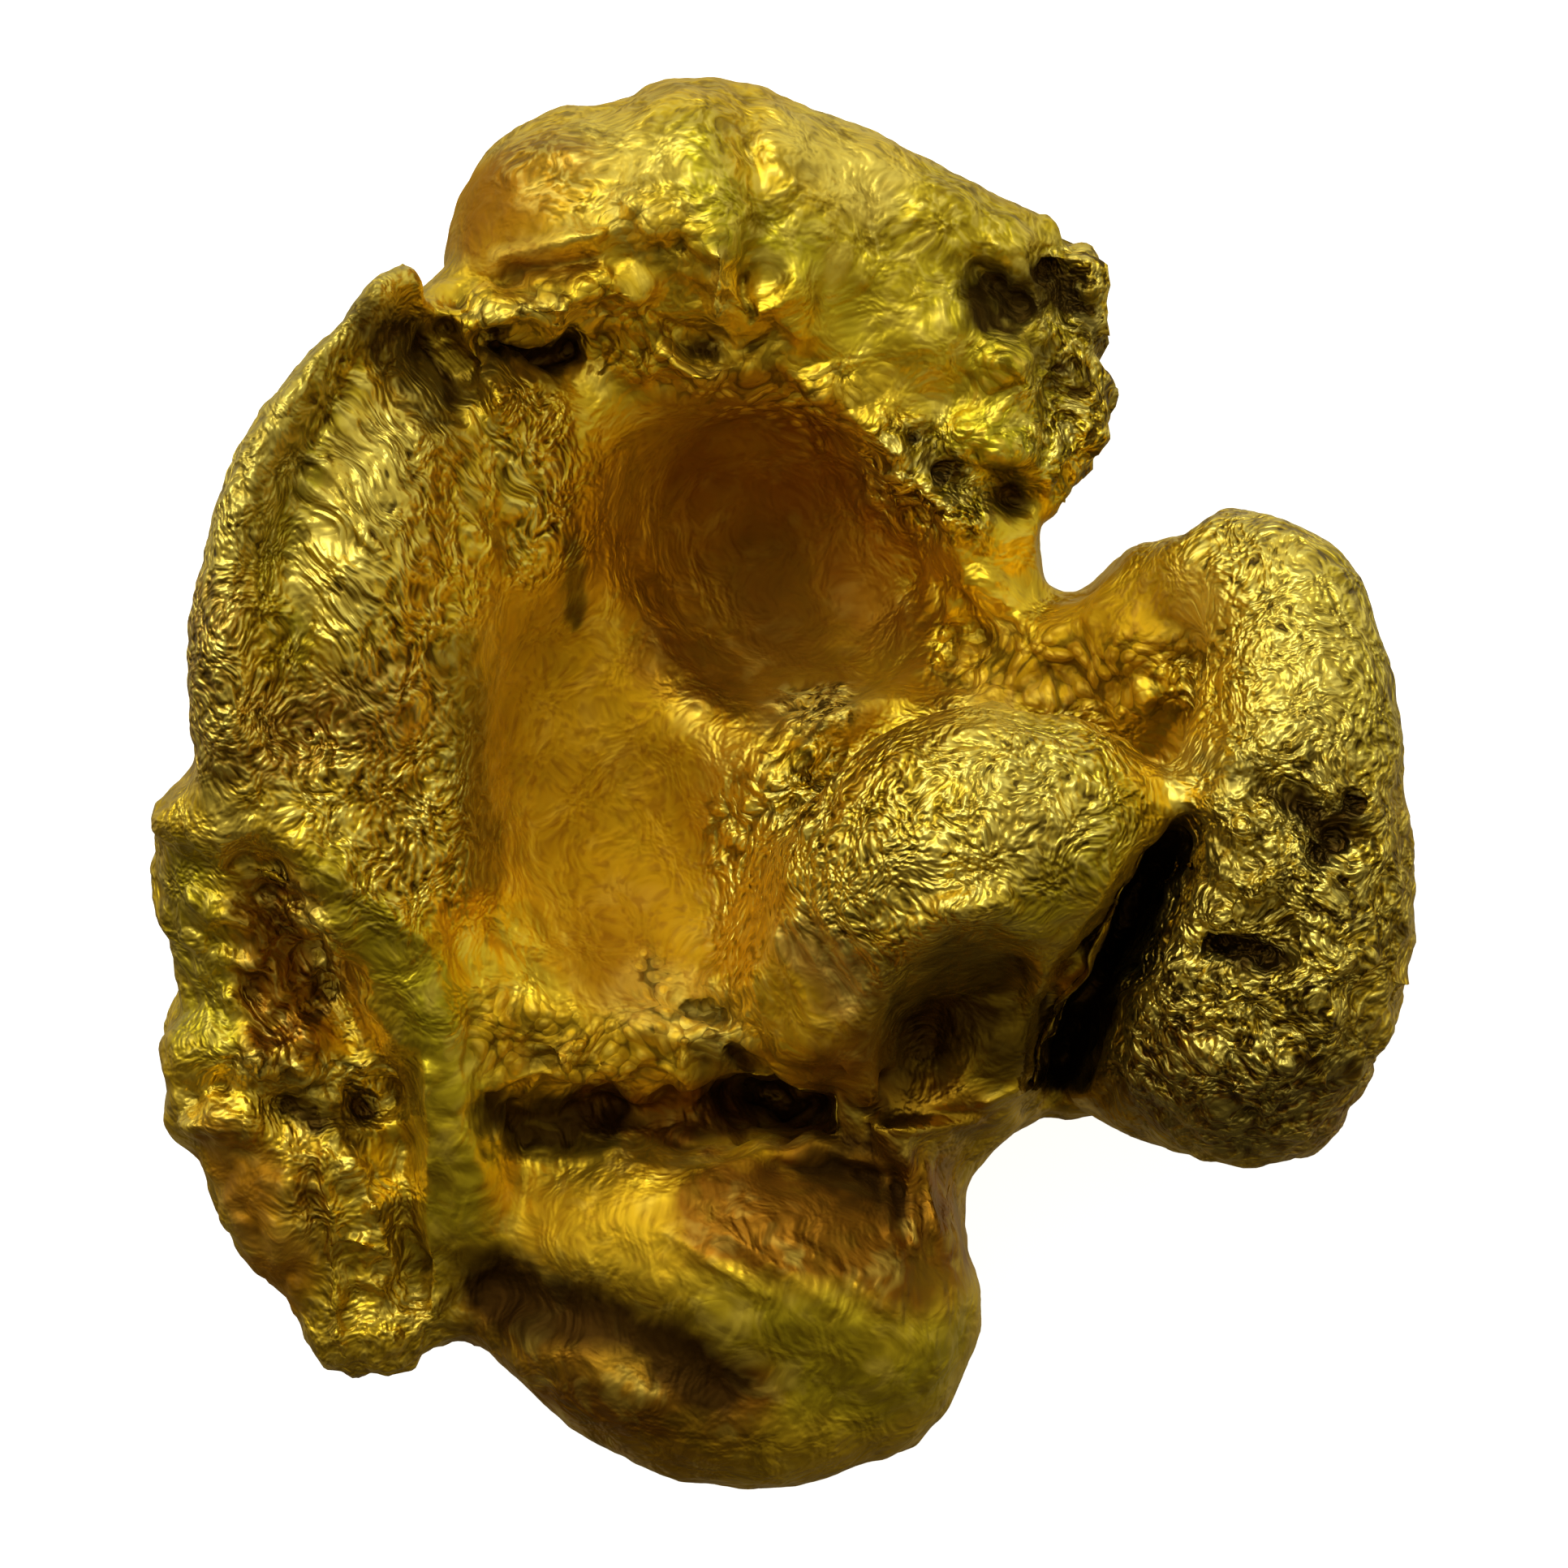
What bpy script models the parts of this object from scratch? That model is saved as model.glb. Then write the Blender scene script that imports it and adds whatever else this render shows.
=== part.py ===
"""A natural gold nugget: one solid lump of gold, cupped like a flower, resting on its worn underside.

It is sculpted at 1 unit = 1 mm and brought to metres last. +X runs to the nugget's right, +Y to its
crown, and +Z up from the surface that it rests on. Rounded lumps and limbs are fused into one body and
hollows are cut out of it. Short strokes then raise the ridges and press in the creases, and crumpled
patches and pits roughen the skin. Last, the lowest points are worn flat.
"""

import math

import bmesh
import bpy
import numpy as np
from mathutils import Euler, Matrix, Vector, noise

MM = 0.001
TRIANGLES = 9400
BODY_VOXEL = 0.15
SKIN_VOXEL = 0.11
BODY_SOFTENING, SKIN_SOFTENING, STROKE_SOFTENING = 6, 8, 2
CRUMPLE_LEVEL = 0.55  # the folded noise of a patch is about this on average, and moves the skin neither way
REGROWTH = 0.05  # what the softening took off the skin
PATCH_EDGE = 1.6  # a patch keeps its full depth over the inner part of its reach, and then fades out
STROKE_FADE = 2.5  # a stroke is full on skin that faces up, and fades out where the skin is steep
WORN_HEIGHT = 0.22
CURVE_STEPS, BALL_STEPS = 8, 3
GOLD = (0.62, 0.40, 0.07, 1.0)
GOLD_ROUGHNESS = 0.38

# A limb is a row of stations along its spine: (right, up, height, radius), in millimetres.
LIMBS = {
    "petal rim": (
        (-3.76, 4.78, 5.0, 0.34), (-4.18, 4.06, 5.6, 0.38), (-4.78, 3.22, 5.8, 0.46),
        (-5.12, 2.20, 5.8, 0.50), (-5.27, 1.20, 5.6, 0.55), (-5.24, 0.40, 5.3, 0.60),
    ),
    "petal wall": (
        (-3.45, 3.95, 3.9, 0.95), (-4.15, 3.30, 4.5, 1.00), (-4.50, 2.40, 4.7, 1.15),
        (-4.60, 1.40, 4.6, 1.20), (-4.60, 0.40, 4.2, 1.20),
    ),
    "petal root": (
        (-2.7, 3.6, 2.6, 1.3), (-3.7, 2.7, 2.7, 1.6), (-4.1, 1.4, 2.6, 1.75), (-4.1, 0.0, 2.5, 1.8),
    ),
    "petal inner edge": (
        (-3.30, 4.10, 4.2, 0.42), (-3.32, 3.40, 4.2, 0.50), (-3.32, 2.40, 4.2, 0.58),
        (-3.36, 1.40, 4.1, 0.60), (-3.45, 0.40, 4.0, 0.62), (-3.75, -0.60, 3.9, 0.62),
    ),
    "fold wall": (
        (-2.60, 3.90, 3.7, 0.55), (-2.45, 3.00, 3.5, 0.60),
        (-2.30, 2.20, 3.3, 0.60), (-2.25, 1.50, 3.0, 0.55),
    ),
    "fold web": (
        (-2.95, 3.90, 3.9, 0.42), (-2.85, 3.20, 3.8, 0.45),
        (-2.70, 2.50, 3.6, 0.45), (-2.60, 1.90, 3.4, 0.45),
    ),
    "flange brim": (
        (-0.10, 5.55, 3.0, 1.20), (1.00, 5.17, 2.9, 1.14), (2.00, 4.82, 2.7, 1.04), (2.50, 4.68, 2.6, 0.84),
    ),
    "thumb": (
        (-0.30, -2.20, 3.3, 0.74), (0.30, -1.55, 4.1, 1.00), (0.95, -0.95, 4.8, 1.12),
        (1.72, -0.50, 5.4, 1.27), (2.55, -0.42, 5.3, 1.10),
    ),
    "thumb heel": (
        (2.30, -1.00, 4.9, 1.05), (1.95, -1.90, 4.0, 1.00),
        (1.45, -2.60, 3.2, 0.95), (0.60, -2.60, 2.9, 0.95),
    ),
    "right limb": (
        (4.26, 1.98, 4.2, 0.73), (4.76, 1.66, 4.7, 0.86), (4.92, 0.85, 5.0, 1.02),
        (4.84, -0.05, 5.1, 1.12), (4.82, -0.95, 4.9, 1.32), (4.62, -1.90, 4.3, 1.50),
        (4.50, -2.60, 3.5, 1.25),
    ),
    "spine": (
        (-5.35, -0.30, 5.0, 0.55), (-4.75, -0.70, 4.9, 0.55), (-4.10, -1.35, 4.5, 0.55),
        (-3.60, -2.30, 4.0, 0.55), (-3.35, -3.30, 3.6, 0.50), (-3.30, -4.40, 2.9, 0.50),
        (-3.30, -5.05, 2.4, 0.45),
    ),
    "bowl lip": (
        (-3.30, -2.00, 3.5, 0.70), (-2.40, -2.45, 3.3, 0.70), (-1.40, -2.50, 3.2, 0.68),
        (-0.50, -2.35, 3.1, 0.68), (0.20, -2.20, 3.2, 0.70),
    ),
}

# A lump is an ellipsoid: (centre, radii, turn about +Z in degrees).
LUMPS = {
    "belly": ((-0.6, -0.3, 1.95), (4.7, 4.8, 1.75), 0),
    "belly right": ((2.9, -1.0, 2.1), (2.5, 2.2, 1.7), 0),
    "petal face": ((-3.95, 1.9, 3.35), (1.25, 2.3, 1.85), 6),
    "petal foot": ((-4.0, -0.4, 3.1), (1.5, 1.4, 1.8), 0),
    "crown left": ((-2.0, 5.22, 3.2), (1.42, 1.42, 1.65), 0),
    "crown right": ((-0.85, 5.60, 3.1), (1.40, 1.38, 1.85), 0),
    "crown root": ((-1.4, 4.4, 2.3), (1.9, 1.5, 1.6), 0),
    "crown shelf": ((-0.7, 4.75, 3.0), (1.8, 0.95, 1.45), 0),
    "flange shelf": ((0.9, 4.35, 2.8), (1.4, 1.15, 1.20), -20),
    "flange middle": ((1.8, 3.8, 2.5), (1.45, 1.5, 1.25), 0),
    "flange corner": ((2.90, 4.93, 2.6), (0.42, 0.48, 0.65), 0),
    "flange edge": ((2.72, 3.75, 2.5), (0.60, 0.90, 0.9), 0),
    "flange tip": ((2.92, 3.32, 2.5), (0.34, 0.34, 0.6), 0),
    "flange foot": ((1.95, 2.6, 2.3), (0.75, 1.3, 1.1), 0),
    "neck": ((2.6, 0.95, 2.5), (1.3, 0.90, 1.1), 0),
    "neck right": ((3.72, 1.32, 3.1), (0.95, 1.18, 1.3), 0),
    "right root": ((4.55, -0.9, 2.4), (1.5, 2.4, 1.8), 0),
    "right wall": ((4.68, 0.75, 2.9), (1.10, 1.45, 2.0), 0),
    "right shoulder": ((4.35, -1.6, 3.8), (1.05, 1.7, 1.5), -12),
    "right heel": ((4.35, -2.65, 2.6), (1.55, 1.02, 1.4), 8),
    "right tip": ((5.00, -3.30, 3.0), (0.55, 0.50, 0.7), 0),
    "foot lobe": ((-0.46, -5.05, 2.6), (2.42, 1.98, 1.70), 0),
    "foot lobe right": ((0.80, -5.10, 2.4), (1.12, 1.68, 1.5), 0),
    "thumb flank": ((0.46, -2.05, 3.70), (0.80, 1.05, 1.35), -20),
    "foot bridge": ((0.75, -3.3, 2.6), (1.1, 0.9, 1.3), 0),
    "crown lip": ((-2.35, 4.50, 4.25), (0.62, 0.24, 0.55), 8),
    "lip bump one": ((-2.75, -2.35, 3.75), (0.38, 0.30, 0.40), 0),
    "lip bump two": ((-1.95, -2.70, 3.65), (0.42, 0.26, 0.40), 15),
    "lip bump three": ((-1.15, -2.10, 3.45), (0.34, 0.28, 0.36), 0),
    "lip bump four": ((-0.75, -2.60, 3.55), (0.42, 0.26, 0.40), -20),
    "tongue": ((1.85, -3.05, 2.7), (0.75, 0.45, 1.0), 10),
    "crag spur": ((-5.55, -0.38, 4.3), (0.72, 0.45, 0.9), 0),
    "crag upper": ((-5.26, -1.10, 3.3), (1.03, 1.20, 1.3), 0),
    "crag middle": ((-5.06, -2.85, 2.9), (1.20, 1.15, 1.35), 0),
    "crag block": ((-4.58, -3.95, 2.6), (1.22, 1.25, 1.2), -20),
    "crag toe": ((-4.18, -5.14, 2.3), (0.82, 0.90, 0.95), 0),
    "crag heel": ((-3.12, -4.84, 2.2), (0.72, 0.74, 0.9), 0),
    "foot one": ((-3.5, -2.7, 1.5), (1.7, 1.6, 1.6), 0),
    "foot two": ((3.6, -1.2, 1.5), (1.8, 1.9, 1.6), 0),
    "foot three": ((-0.9, 3.7, 1.5), (2.1, 1.5, 1.6), 0),
    "foot four": ((0.1, -4.2, 1.7), (1.9, 1.5, 1.75), 0),
}

# A hollow is an ellipsoid cut out of the body: (centre, radii, turn about +Z in degrees).
HOLLOWS = {
    "bowl": ((-1.64, -0.45, 5.1), (1.52, 2.15, 2.65), 16),
    "sill dip": ((-0.15, 0.78, 4.7), (0.85, 0.50, 1.75), 15),
    "bowl head": ((-1.75, 0.95, 5.0), (1.35, 1.10, 2.35), 0),
    "pocket": ((-0.30, 2.25, 3.0), (1.42, 1.50, 1.85), 25),
    "pocket right": ((0.60, 1.85, 3.2), (1.00, 1.15, 1.55), -35),
    "pocket left": ((-1.15, 2.50, 3.8), (0.80, 1.15, 1.90), -10),
    "sill": ((1.35, 1.45, 4.3), (1.10, 0.80, 1.70), -20),
    "groove": ((-1.30, -3.36, 4.1), (1.60, 0.40, 1.35), -3),
    "groove deep": ((-0.15, -3.22, 3.3), (0.80, 0.34, 1.4), -12),
    "crevice": ((3.42, -1.35, 4.9), (0.34, 1.30, 3.0), -26),
    "crevice mouth": ((2.78, -2.75, 4.9), (0.32, 0.95, 3.0), -14),
    "notch": ((2.90, 2.38, 2.6), (0.44, 0.62, 4.0), -20),
    "notch mouth": ((3.56, 2.82, 2.6), (0.66, 0.44, 4.0), -30),
    "underside": ((0.1, -0.6, -0.9), (2.3, 2.9, 1.9), 20),
    "armpit": ((2.42, -4.22, 2.6), (0.62, 0.95, 4.0), -30),
}

# A ridge or a crease is a stroke over the upper side: (path of (right, up) points, width, rise).
RIDGES = {
    "petal fold": (((-3.45, 4.75), (-3.00, 4.15), (-2.72, 3.50), (-2.48, 2.90), (-2.28, 2.30)), 0.16, 0.30),
    "crown ledge": (((-3.00, 5.05), (-2.45, 5.12), (-1.90, 5.30)), 0.16, 0.16),
    "crown knob": (((-1.55, 5.70), (-1.35, 5.35)), 0.18, 0.22),
    "crown lip": (((-2.95, 4.60), (-2.45, 4.56), (-1.90, 4.72)), 0.22, 0.32),
    "curl": (((-0.70, 5.20), (-0.68, 4.80), (-0.50, 4.55), (-0.10, 4.58), (0.10, 4.85)), 0.18, 0.24),
    "knuckles": (((-1.50, 4.25), (-1.10, 4.08), (-0.75, 4.02)), 0.18, 0.16),
    "pocket rim": (((-1.30, 4.00), (-0.60, 3.96), (0.20, 3.82), (0.85, 3.35), (1.40, 2.65)), 0.18, 0.22),
    "sill line": (((-1.80, 0.95), (-0.90, 0.75), (-0.20, 0.68), (0.40, 0.80)), 0.22, 0.05),
    "sill knob": (((0.15, 0.60), (0.50, 0.85)), 0.22, 0.35),
    "thumb root": (((0.30, 0.55), (-0.05, 0.15), (-0.45, -0.30), (-0.80, -0.75)), 0.24, 0.18),
    "neck rib": (((1.90, 1.85), (2.60, 1.45), (3.20, 1.50)), 0.22, 0.20),
    "flange knob": (((2.15, 4.15), (2.40, 3.95)), 0.20, 0.22),
    "flange bump": (((1.90, 3.35), (2.10, 3.20)), 0.22, 0.22),
    "flange hem": (((0.95, 3.45), (1.40, 3.05), (1.70, 2.55)), 0.22, 0.16),
    "dish rim": (((0.70, -2.90), (0.90, -2.30), (1.58, -1.35), (2.35, -1.45)), 0.18, 0.22),
    "foot band": (((-2.50, -4.20), (-1.60, -4.25), (-0.40, -4.60), (0.80, -5.10)), 0.60, 0.16),
    "fold": (((1.05, -3.55), (1.35, -4.00), (1.55, -4.50)), 0.16, 0.20),
    "tongue line": (((1.10, -3.35), (1.70, -3.15), (2.20, -3.25)), 0.16, 0.18),
    "petal rim line": (
        ((-3.95, 4.65), (-4.65, 3.80), (-5.20, 2.60), (-5.40, 1.30), (-5.35, 0.50)),
        0.22, 0.22,
    ),
}
CREASES = {
    "petal valley": (
        ((-4.10, 3.95), (-4.60, 3.10), (-4.85, 2.10), (-4.85, 1.20), (-4.75, 0.50)),
        0.40, 0.38,
    ),
    "petal slit": (((-2.15, 2.50), (-2.08, 2.10), (-2.05, 1.65)), 0.13, 0.35),
    "petal drop": (((-2.45, 1.60), (-2.68, 1.00), (-2.75, 0.20), (-2.78, -0.60)), 0.30, 0.14),
    "petal dent": (((-3.70, 4.45), (-3.35, 4.20), (-3.15, 3.95)), 0.28, 0.60),
    "crown crease": (((-3.10, 4.86), (-2.50, 4.92), (-1.90, 5.05), (-1.40, 5.10)), 0.14, 0.12),
    "crown valley": (((-0.40, 6.90), (-0.45, 6.20), (-0.15, 5.50)), 0.28, 0.28),
    "under curl": (((-1.10, 4.38), (-0.60, 4.28), (-0.20, 4.38)), 0.17, 0.35),
    "lip cavity": (((-2.85, 4.22), (-2.30, 4.18), (-1.80, 4.25)), 0.22, 0.60),
    "curl hollow": (((-0.38, 5.12), (-0.32, 4.85), (-0.15, 4.88)), 0.15, 0.28),
    "flange pit": (((1.90, 4.90), (2.10, 4.62), (2.30, 4.55)), 0.22, 0.30),
    "flange pits": (((2.62, 5.12), (2.80, 4.80), (2.62, 4.30), (2.72, 3.60)), 0.26, 0.30),
    "flange slot": (((2.30, 2.75), (2.05, 3.00)), 0.20, 0.30),
    "flange dent": (((1.35, 3.25), (1.75, 2.90)), 0.22, 0.25),
    "flange hollow": (((1.00, 5.35), (1.50, 4.95)), 0.40, 0.18),
    "flange fold": (((0.55, 4.60), (0.90, 4.00), (1.50, 3.70)), 0.35, 0.18),
    "thumb shadow": (
        ((1.30, 0.85), (0.70, 0.40), (0.15, -0.10), (-0.35, -0.70), (-0.80, -1.45)),
        0.16, 0.14,
    ),
    "thumb dish": (((1.40, -2.50), (1.70, -2.15), (2.05, -2.05)), 0.50, 0.70),
    "foot slot": (((-0.20, -3.85), (0.40, -3.82), (1.00, -3.98)), 0.15, 0.35),
    "lip slit": (((-1.10, -2.15), (-0.60, -2.25)), 0.16, 0.35),
    "crag flute one": (((-5.20, -0.95), (-4.60, -1.90), (-4.30, -2.60)), 0.22, 0.45),
    "crag flute two": (((-5.55, -1.60), (-5.00, -2.30)), 0.20, 0.25),
    "crag step": (((-5.90, -3.10), (-5.00, -3.05), (-4.10, -3.10)), 0.20, 0.35),
    "crag flute three": (((-4.90, -3.40), (-4.55, -4.40), (-4.30, -5.20)), 0.20, 0.30),
    "crag gutter": (((-3.90, -3.00), (-3.80, -4.00), (-3.75, -5.20)), 0.20, 0.35),
    "foot shade": (((-2.85, -4.95), (-1.80, -5.15), (-0.60, -5.75), (0.40, -6.10)), 0.48, 0.25),
    "lobe pit": (((4.25, -1.55), (4.55, -1.60)), 0.24, 0.30),
    "lobe pits": (((4.60, -0.10), (5.00, -0.45), (5.40, -0.65)), 0.24, 0.22),
    "lobe waist": (((3.75, 0.35), (4.00, 0.80), (3.95, 1.60)), 0.25, 0.22),
}

# A grab pulls the skin near a place of the plan sideways: (right, up, reach, shift right, shift up).
GRABS = (
    (3.45, 5.15, 0.45, -0.12, 0.00),
    (3.35, 4.72, 0.20, -0.22, 0.00),
    (3.35, 4.15, 0.22, -0.20, 0.00),
    (3.40, 3.52, 0.20, -0.22, 0.00),
    (3.30, 3.05, 0.30, -0.10, 0.14),
    (-6.20, -0.75, 0.40, -0.10, 0.00),
    (-6.05, -2.10, 0.35, -0.10, 0.00),
    (-6.00, -3.40, 0.45, -0.12, 0.00),
    (-2.75, -5.75, 0.40, -0.10, -0.12),
    (0.00, -6.90, 0.80, 0.00, -0.06),
    (6.10, 1.60, 0.60, -0.08, 0.00),
    (6.20, -0.30, 0.50, -0.06, 0.00),
    (6.00, -2.60, 0.60, -0.10, 0.00),
    (3.50, -3.50, 0.60, 0.00, -0.06),
    (2.10, -4.10, 0.50, -0.14, 0.00),
    (2.00, 5.95, 0.80, 0.00, -0.06),
)

# A crumpled patch roughens the skin round a place: (right, up, reach, crumple size, depth).
PATCHES = (
    (-5.0, -2.6, 2.6, 0.75, 0.28),
    (-4.3, -4.4, 1.6, 0.55, 0.16),
    (4.9, -1.8, 2.2, 0.60, 0.13),
    (2.2, 4.2, 1.7, 0.60, 0.16),
    (-1.2, 4.5, 1.7, 0.55, 0.14),
    (-1.0, -2.6, 1.8, 0.55, 0.14),
    (2.4, 1.3, 1.4, 0.60, 0.14),
    (-3.6, 4.2, 1.1, 0.60, 0.12),
    (0.0, 0.0, 20.0, 1.30, 0.10),
)


def limb(stations):
    """A tube along a smooth path through the stations, as a mesh with a ball at each end."""
    curve = bpy.data.curves.new("limb", "CURVE")
    curve.dimensions = "3D"
    curve.resolution_u = CURVE_STEPS
    curve.bevel_depth = 1.0
    curve.bevel_resolution = 5
    curve.use_fill_caps = True
    spline = curve.splines.new("BEZIER")
    spline.bezier_points.add(len(stations) - 1)
    for point, (*place, radius) in zip(spline.bezier_points, stations):
        point.co = place
        point.radius = radius
        point.handle_left_type = point.handle_right_type = "AUTO"
    holder = bpy.data.objects.new("limb", curve)
    bpy.context.scene.collection.objects.link(holder)
    graph = bpy.context.evaluated_depsgraph_get()
    mesh = bpy.data.meshes.new_from_object(holder.evaluated_get(graph))
    bpy.data.objects.remove(holder)
    bm = bmesh.new()
    bm.from_mesh(mesh)
    bmesh.ops.remove_doubles(bm, verts=bm.verts, dist=1e-4)
    for *place, radius in (stations[0], stations[-1]):
        ball = Matrix.LocRotScale(Vector(place), None, Vector((radius,) * 3))
        bmesh.ops.create_icosphere(bm, subdivisions=BALL_STEPS, radius=1.0, matrix=ball)
    bm.to_mesh(mesh)
    bm.free()
    return mesh


def ellipsoids(shapes):
    """Every ellipsoid of a table of lumps or hollows, in one bmesh."""
    bm = bmesh.new()
    for centre, radii, turn in shapes:
        placed = Matrix.LocRotScale(Vector(centre), Euler((0, 0, math.radians(turn))), Vector(radii))
        bmesh.ops.create_icosphere(bm, subdivisions=BALL_STEPS + 1, radius=1.0, matrix=placed)
    return bm


def collection(name):
    made = bpy.data.collections.new(name)
    bpy.context.scene.collection.children.link(made)
    return made


def object_from(bm, name, group):
    mesh = bpy.data.meshes.new(name)
    bm.to_mesh(mesh)
    bm.free()
    made = bpy.data.objects.new(name, mesh)
    group.objects.link(made)
    return made


def settle(target):
    """Puts the result of the object's modifiers into its mesh."""
    graph = bpy.context.evaluated_depsgraph_get()
    mesh = bpy.data.meshes.new_from_object(target.evaluated_get(graph))
    target.modifiers.clear()
    target.data = mesh


def fuse(target, voxel):
    """Melts the overlapping pieces of one object into one closed skin."""
    remesh = target.modifiers.new("fuse", "REMESH")
    remesh.mode = "VOXEL"
    remesh.voxel_size = voxel
    settle(target)


def soften(target, passes):
    smooth = target.modifiers.new("soften", "SMOOTH")
    smooth.factor = 0.5
    smooth.iterations = passes
    settle(target)


def carve(target, cutter):
    cut = target.modifiers.new("carve", "BOOLEAN")
    cut.operation = "DIFFERENCE"
    cut.solver = "EXACT"
    cut.object = cutter
    settle(target)


def skin_of(target):
    """The object's points and the way each one faces, as two arrays."""
    mesh = target.data
    points = np.empty(len(mesh.vertices) * 3, np.float32)
    mesh.vertices.foreach_get("co", points)
    facing = np.empty(len(mesh.vertices) * 3, np.float32)
    mesh.vertices.foreach_get("normal", facing)
    return points.reshape(-1, 3), facing.reshape(-1, 3)


def set_skin(target, points):
    target.data.vertices.foreach_set("co", points.astype(np.float32).ravel())
    target.data.update()


def off_path(places, path):
    """How far each (right, up) place is from a path of straight pieces."""
    nearest = np.full(len(places), np.inf)
    for start, end in zip(np.array(path[:-1]), np.array(path[1:])):
        along = end - start
        share = np.clip((places - start) @ along / (along @ along), 0, 1)
        gap = np.linalg.norm(places - start - share[:, None] * along, axis=1)
        nearest = np.minimum(nearest, gap)
    return nearest


def stroke(target):
    """Raises the ridges and presses the creases into every part of the skin that faces up."""
    points, facing = skin_of(target)
    upper = np.clip(facing[:, 2] * STROKE_FADE, 0, 1)
    for table, sign in ((RIDGES, 1), (CREASES, -1)):
        for path, width, rise in table.values():
            gap = off_path(points[:, :2], path)
            points[:, 2] += sign * rise * upper * np.exp(-((gap / width) ** 2))
    set_skin(target, points)


def grab(target):
    points, _ = skin_of(target)
    for right, up, reach, *shift in GRABS:
        away = np.hypot(points[:, 0] - right, points[:, 1] - up)
        points[:, :2] += np.exp(-((away / reach) ** 2))[:, None] * shift
    set_skin(target, points)


def crumple(target):
    """Moves the skin in and out by a folded noise, which is strongest in the crumpled patches."""
    points, facing = skin_of(target)
    shift = np.full(len(points), REGROWTH)
    for right, up, reach, size, depth in PATCHES:
        away = np.hypot(points[:, 0] - right, points[:, 1] - up)
        share = np.clip(PATCH_EDGE * (1 - away / reach), 0, 1)
        for i in np.flatnonzero(share > 0):
            folded = noise.turbulence(Vector(points[i] / size), 2, True, noise_basis="PERLIN_NEW")
            shift[i] += share[i] * depth * (folded - CRUMPLE_LEVEL)
    set_skin(target, points + facing * shift[:, None])


def wear(target):
    """Cuts the lowest points flat, and puts the origin at the middle of the surface that they rest on."""
    bm = bmesh.new()
    bm.from_mesh(target.data)
    floor = min(v.co.z for v in bm.verts) + WORN_HEIGHT
    everything = bm.verts[:] + bm.edges[:] + bm.faces[:]
    bmesh.ops.bisect_plane(
        bm, geom=everything, dist=1e-4, plane_co=(0, 0, floor), plane_no=(0, 0, -1), clear_outer=True
    )
    bmesh.ops.holes_fill(bm, edges=[e for e in bm.edges if e.is_boundary])
    bmesh.ops.triangulate(bm, faces=bm.faces[:])
    corners = np.array([v.co for v in bm.verts])
    middle = (corners.min(axis=0) + corners.max(axis=0)) / 2
    bmesh.ops.translate(bm, verts=bm.verts[:], vec=(-middle[0], -middle[1], -floor))
    bm.to_mesh(target.data)
    bm.free()
    target.data.update()


def thin(target, triangles):
    count = sum(len(p.vertices) - 2 for p in target.data.polygons)
    fewer = target.modifiers.new("thin", "DECIMATE")
    fewer.ratio = triangles / count
    settle(target)


def gold():
    finish = bpy.data.materials.new("native gold")
    finish.use_nodes = True
    shader = finish.node_tree.nodes["Principled BSDF"]
    shader.inputs["Base Color"].default_value = GOLD
    shader.inputs["Metallic"].default_value = 1.0
    shader.inputs["Roughness"].default_value = GOLD_ROUGHNESS
    return finish


def lump_of_gold(group):
    """The lumps and limbs fused into one softened body, before anything is cut from it."""
    bm = ellipsoids(LUMPS.values())
    for stations in LIMBS.values():
        bm.from_mesh(limb(stations))
    nugget = object_from(bm, "nugget", group)
    fuse(nugget, BODY_VOXEL)
    soften(nugget, BODY_SOFTENING)
    return nugget


def hollows(group):
    """The cutter that holds every hollow, melted into one skin."""
    cutter = object_from(ellipsoids(HOLLOWS.values()), "hollows", group)
    fuse(cutter, BODY_VOXEL)
    cutter.hide_render = True
    cutter.display_type = "WIRE"
    return cutter


def main():
    for old in list(bpy.data.objects):
        bpy.data.objects.remove(old)
    nugget = lump_of_gold(collection("gold nugget"))
    carve(nugget, hollows(collection("cutters")))
    fuse(nugget, SKIN_VOXEL)
    soften(nugget, SKIN_SOFTENING)
    stroke(nugget)
    grab(nugget)
    soften(nugget, STROKE_SOFTENING)
    crumple(nugget)
    thin(nugget, TRIANGLES)
    wear(nugget)
    nugget.data.transform(Matrix.Scale(MM, 4))
    nugget.data.shade_smooth()
    nugget.data.materials.append(gold())


if __name__ == "__main__":
    main()
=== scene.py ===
# %% [markdown]
# # A natural gold nugget
#
# Native gold grows in cracks of quartz and is then carried off by water, which folds its thin edges over,
# hammers its skin and wears its high points smooth. This nugget is one lump, about 14 mm long, and it is
# cupped like a flower: folded lobes stand round one deep hollow.
#
# The packed solid gives the lump its true size and its main forms. Everything finer is made here: the skin is
# rebuilt with a much finer net, sculpted stroke by stroke, and given the colour of gold.

# %% Load the solid
import math

import bpy
import numpy as np
from mathutils import Matrix, Vector, noise


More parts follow.
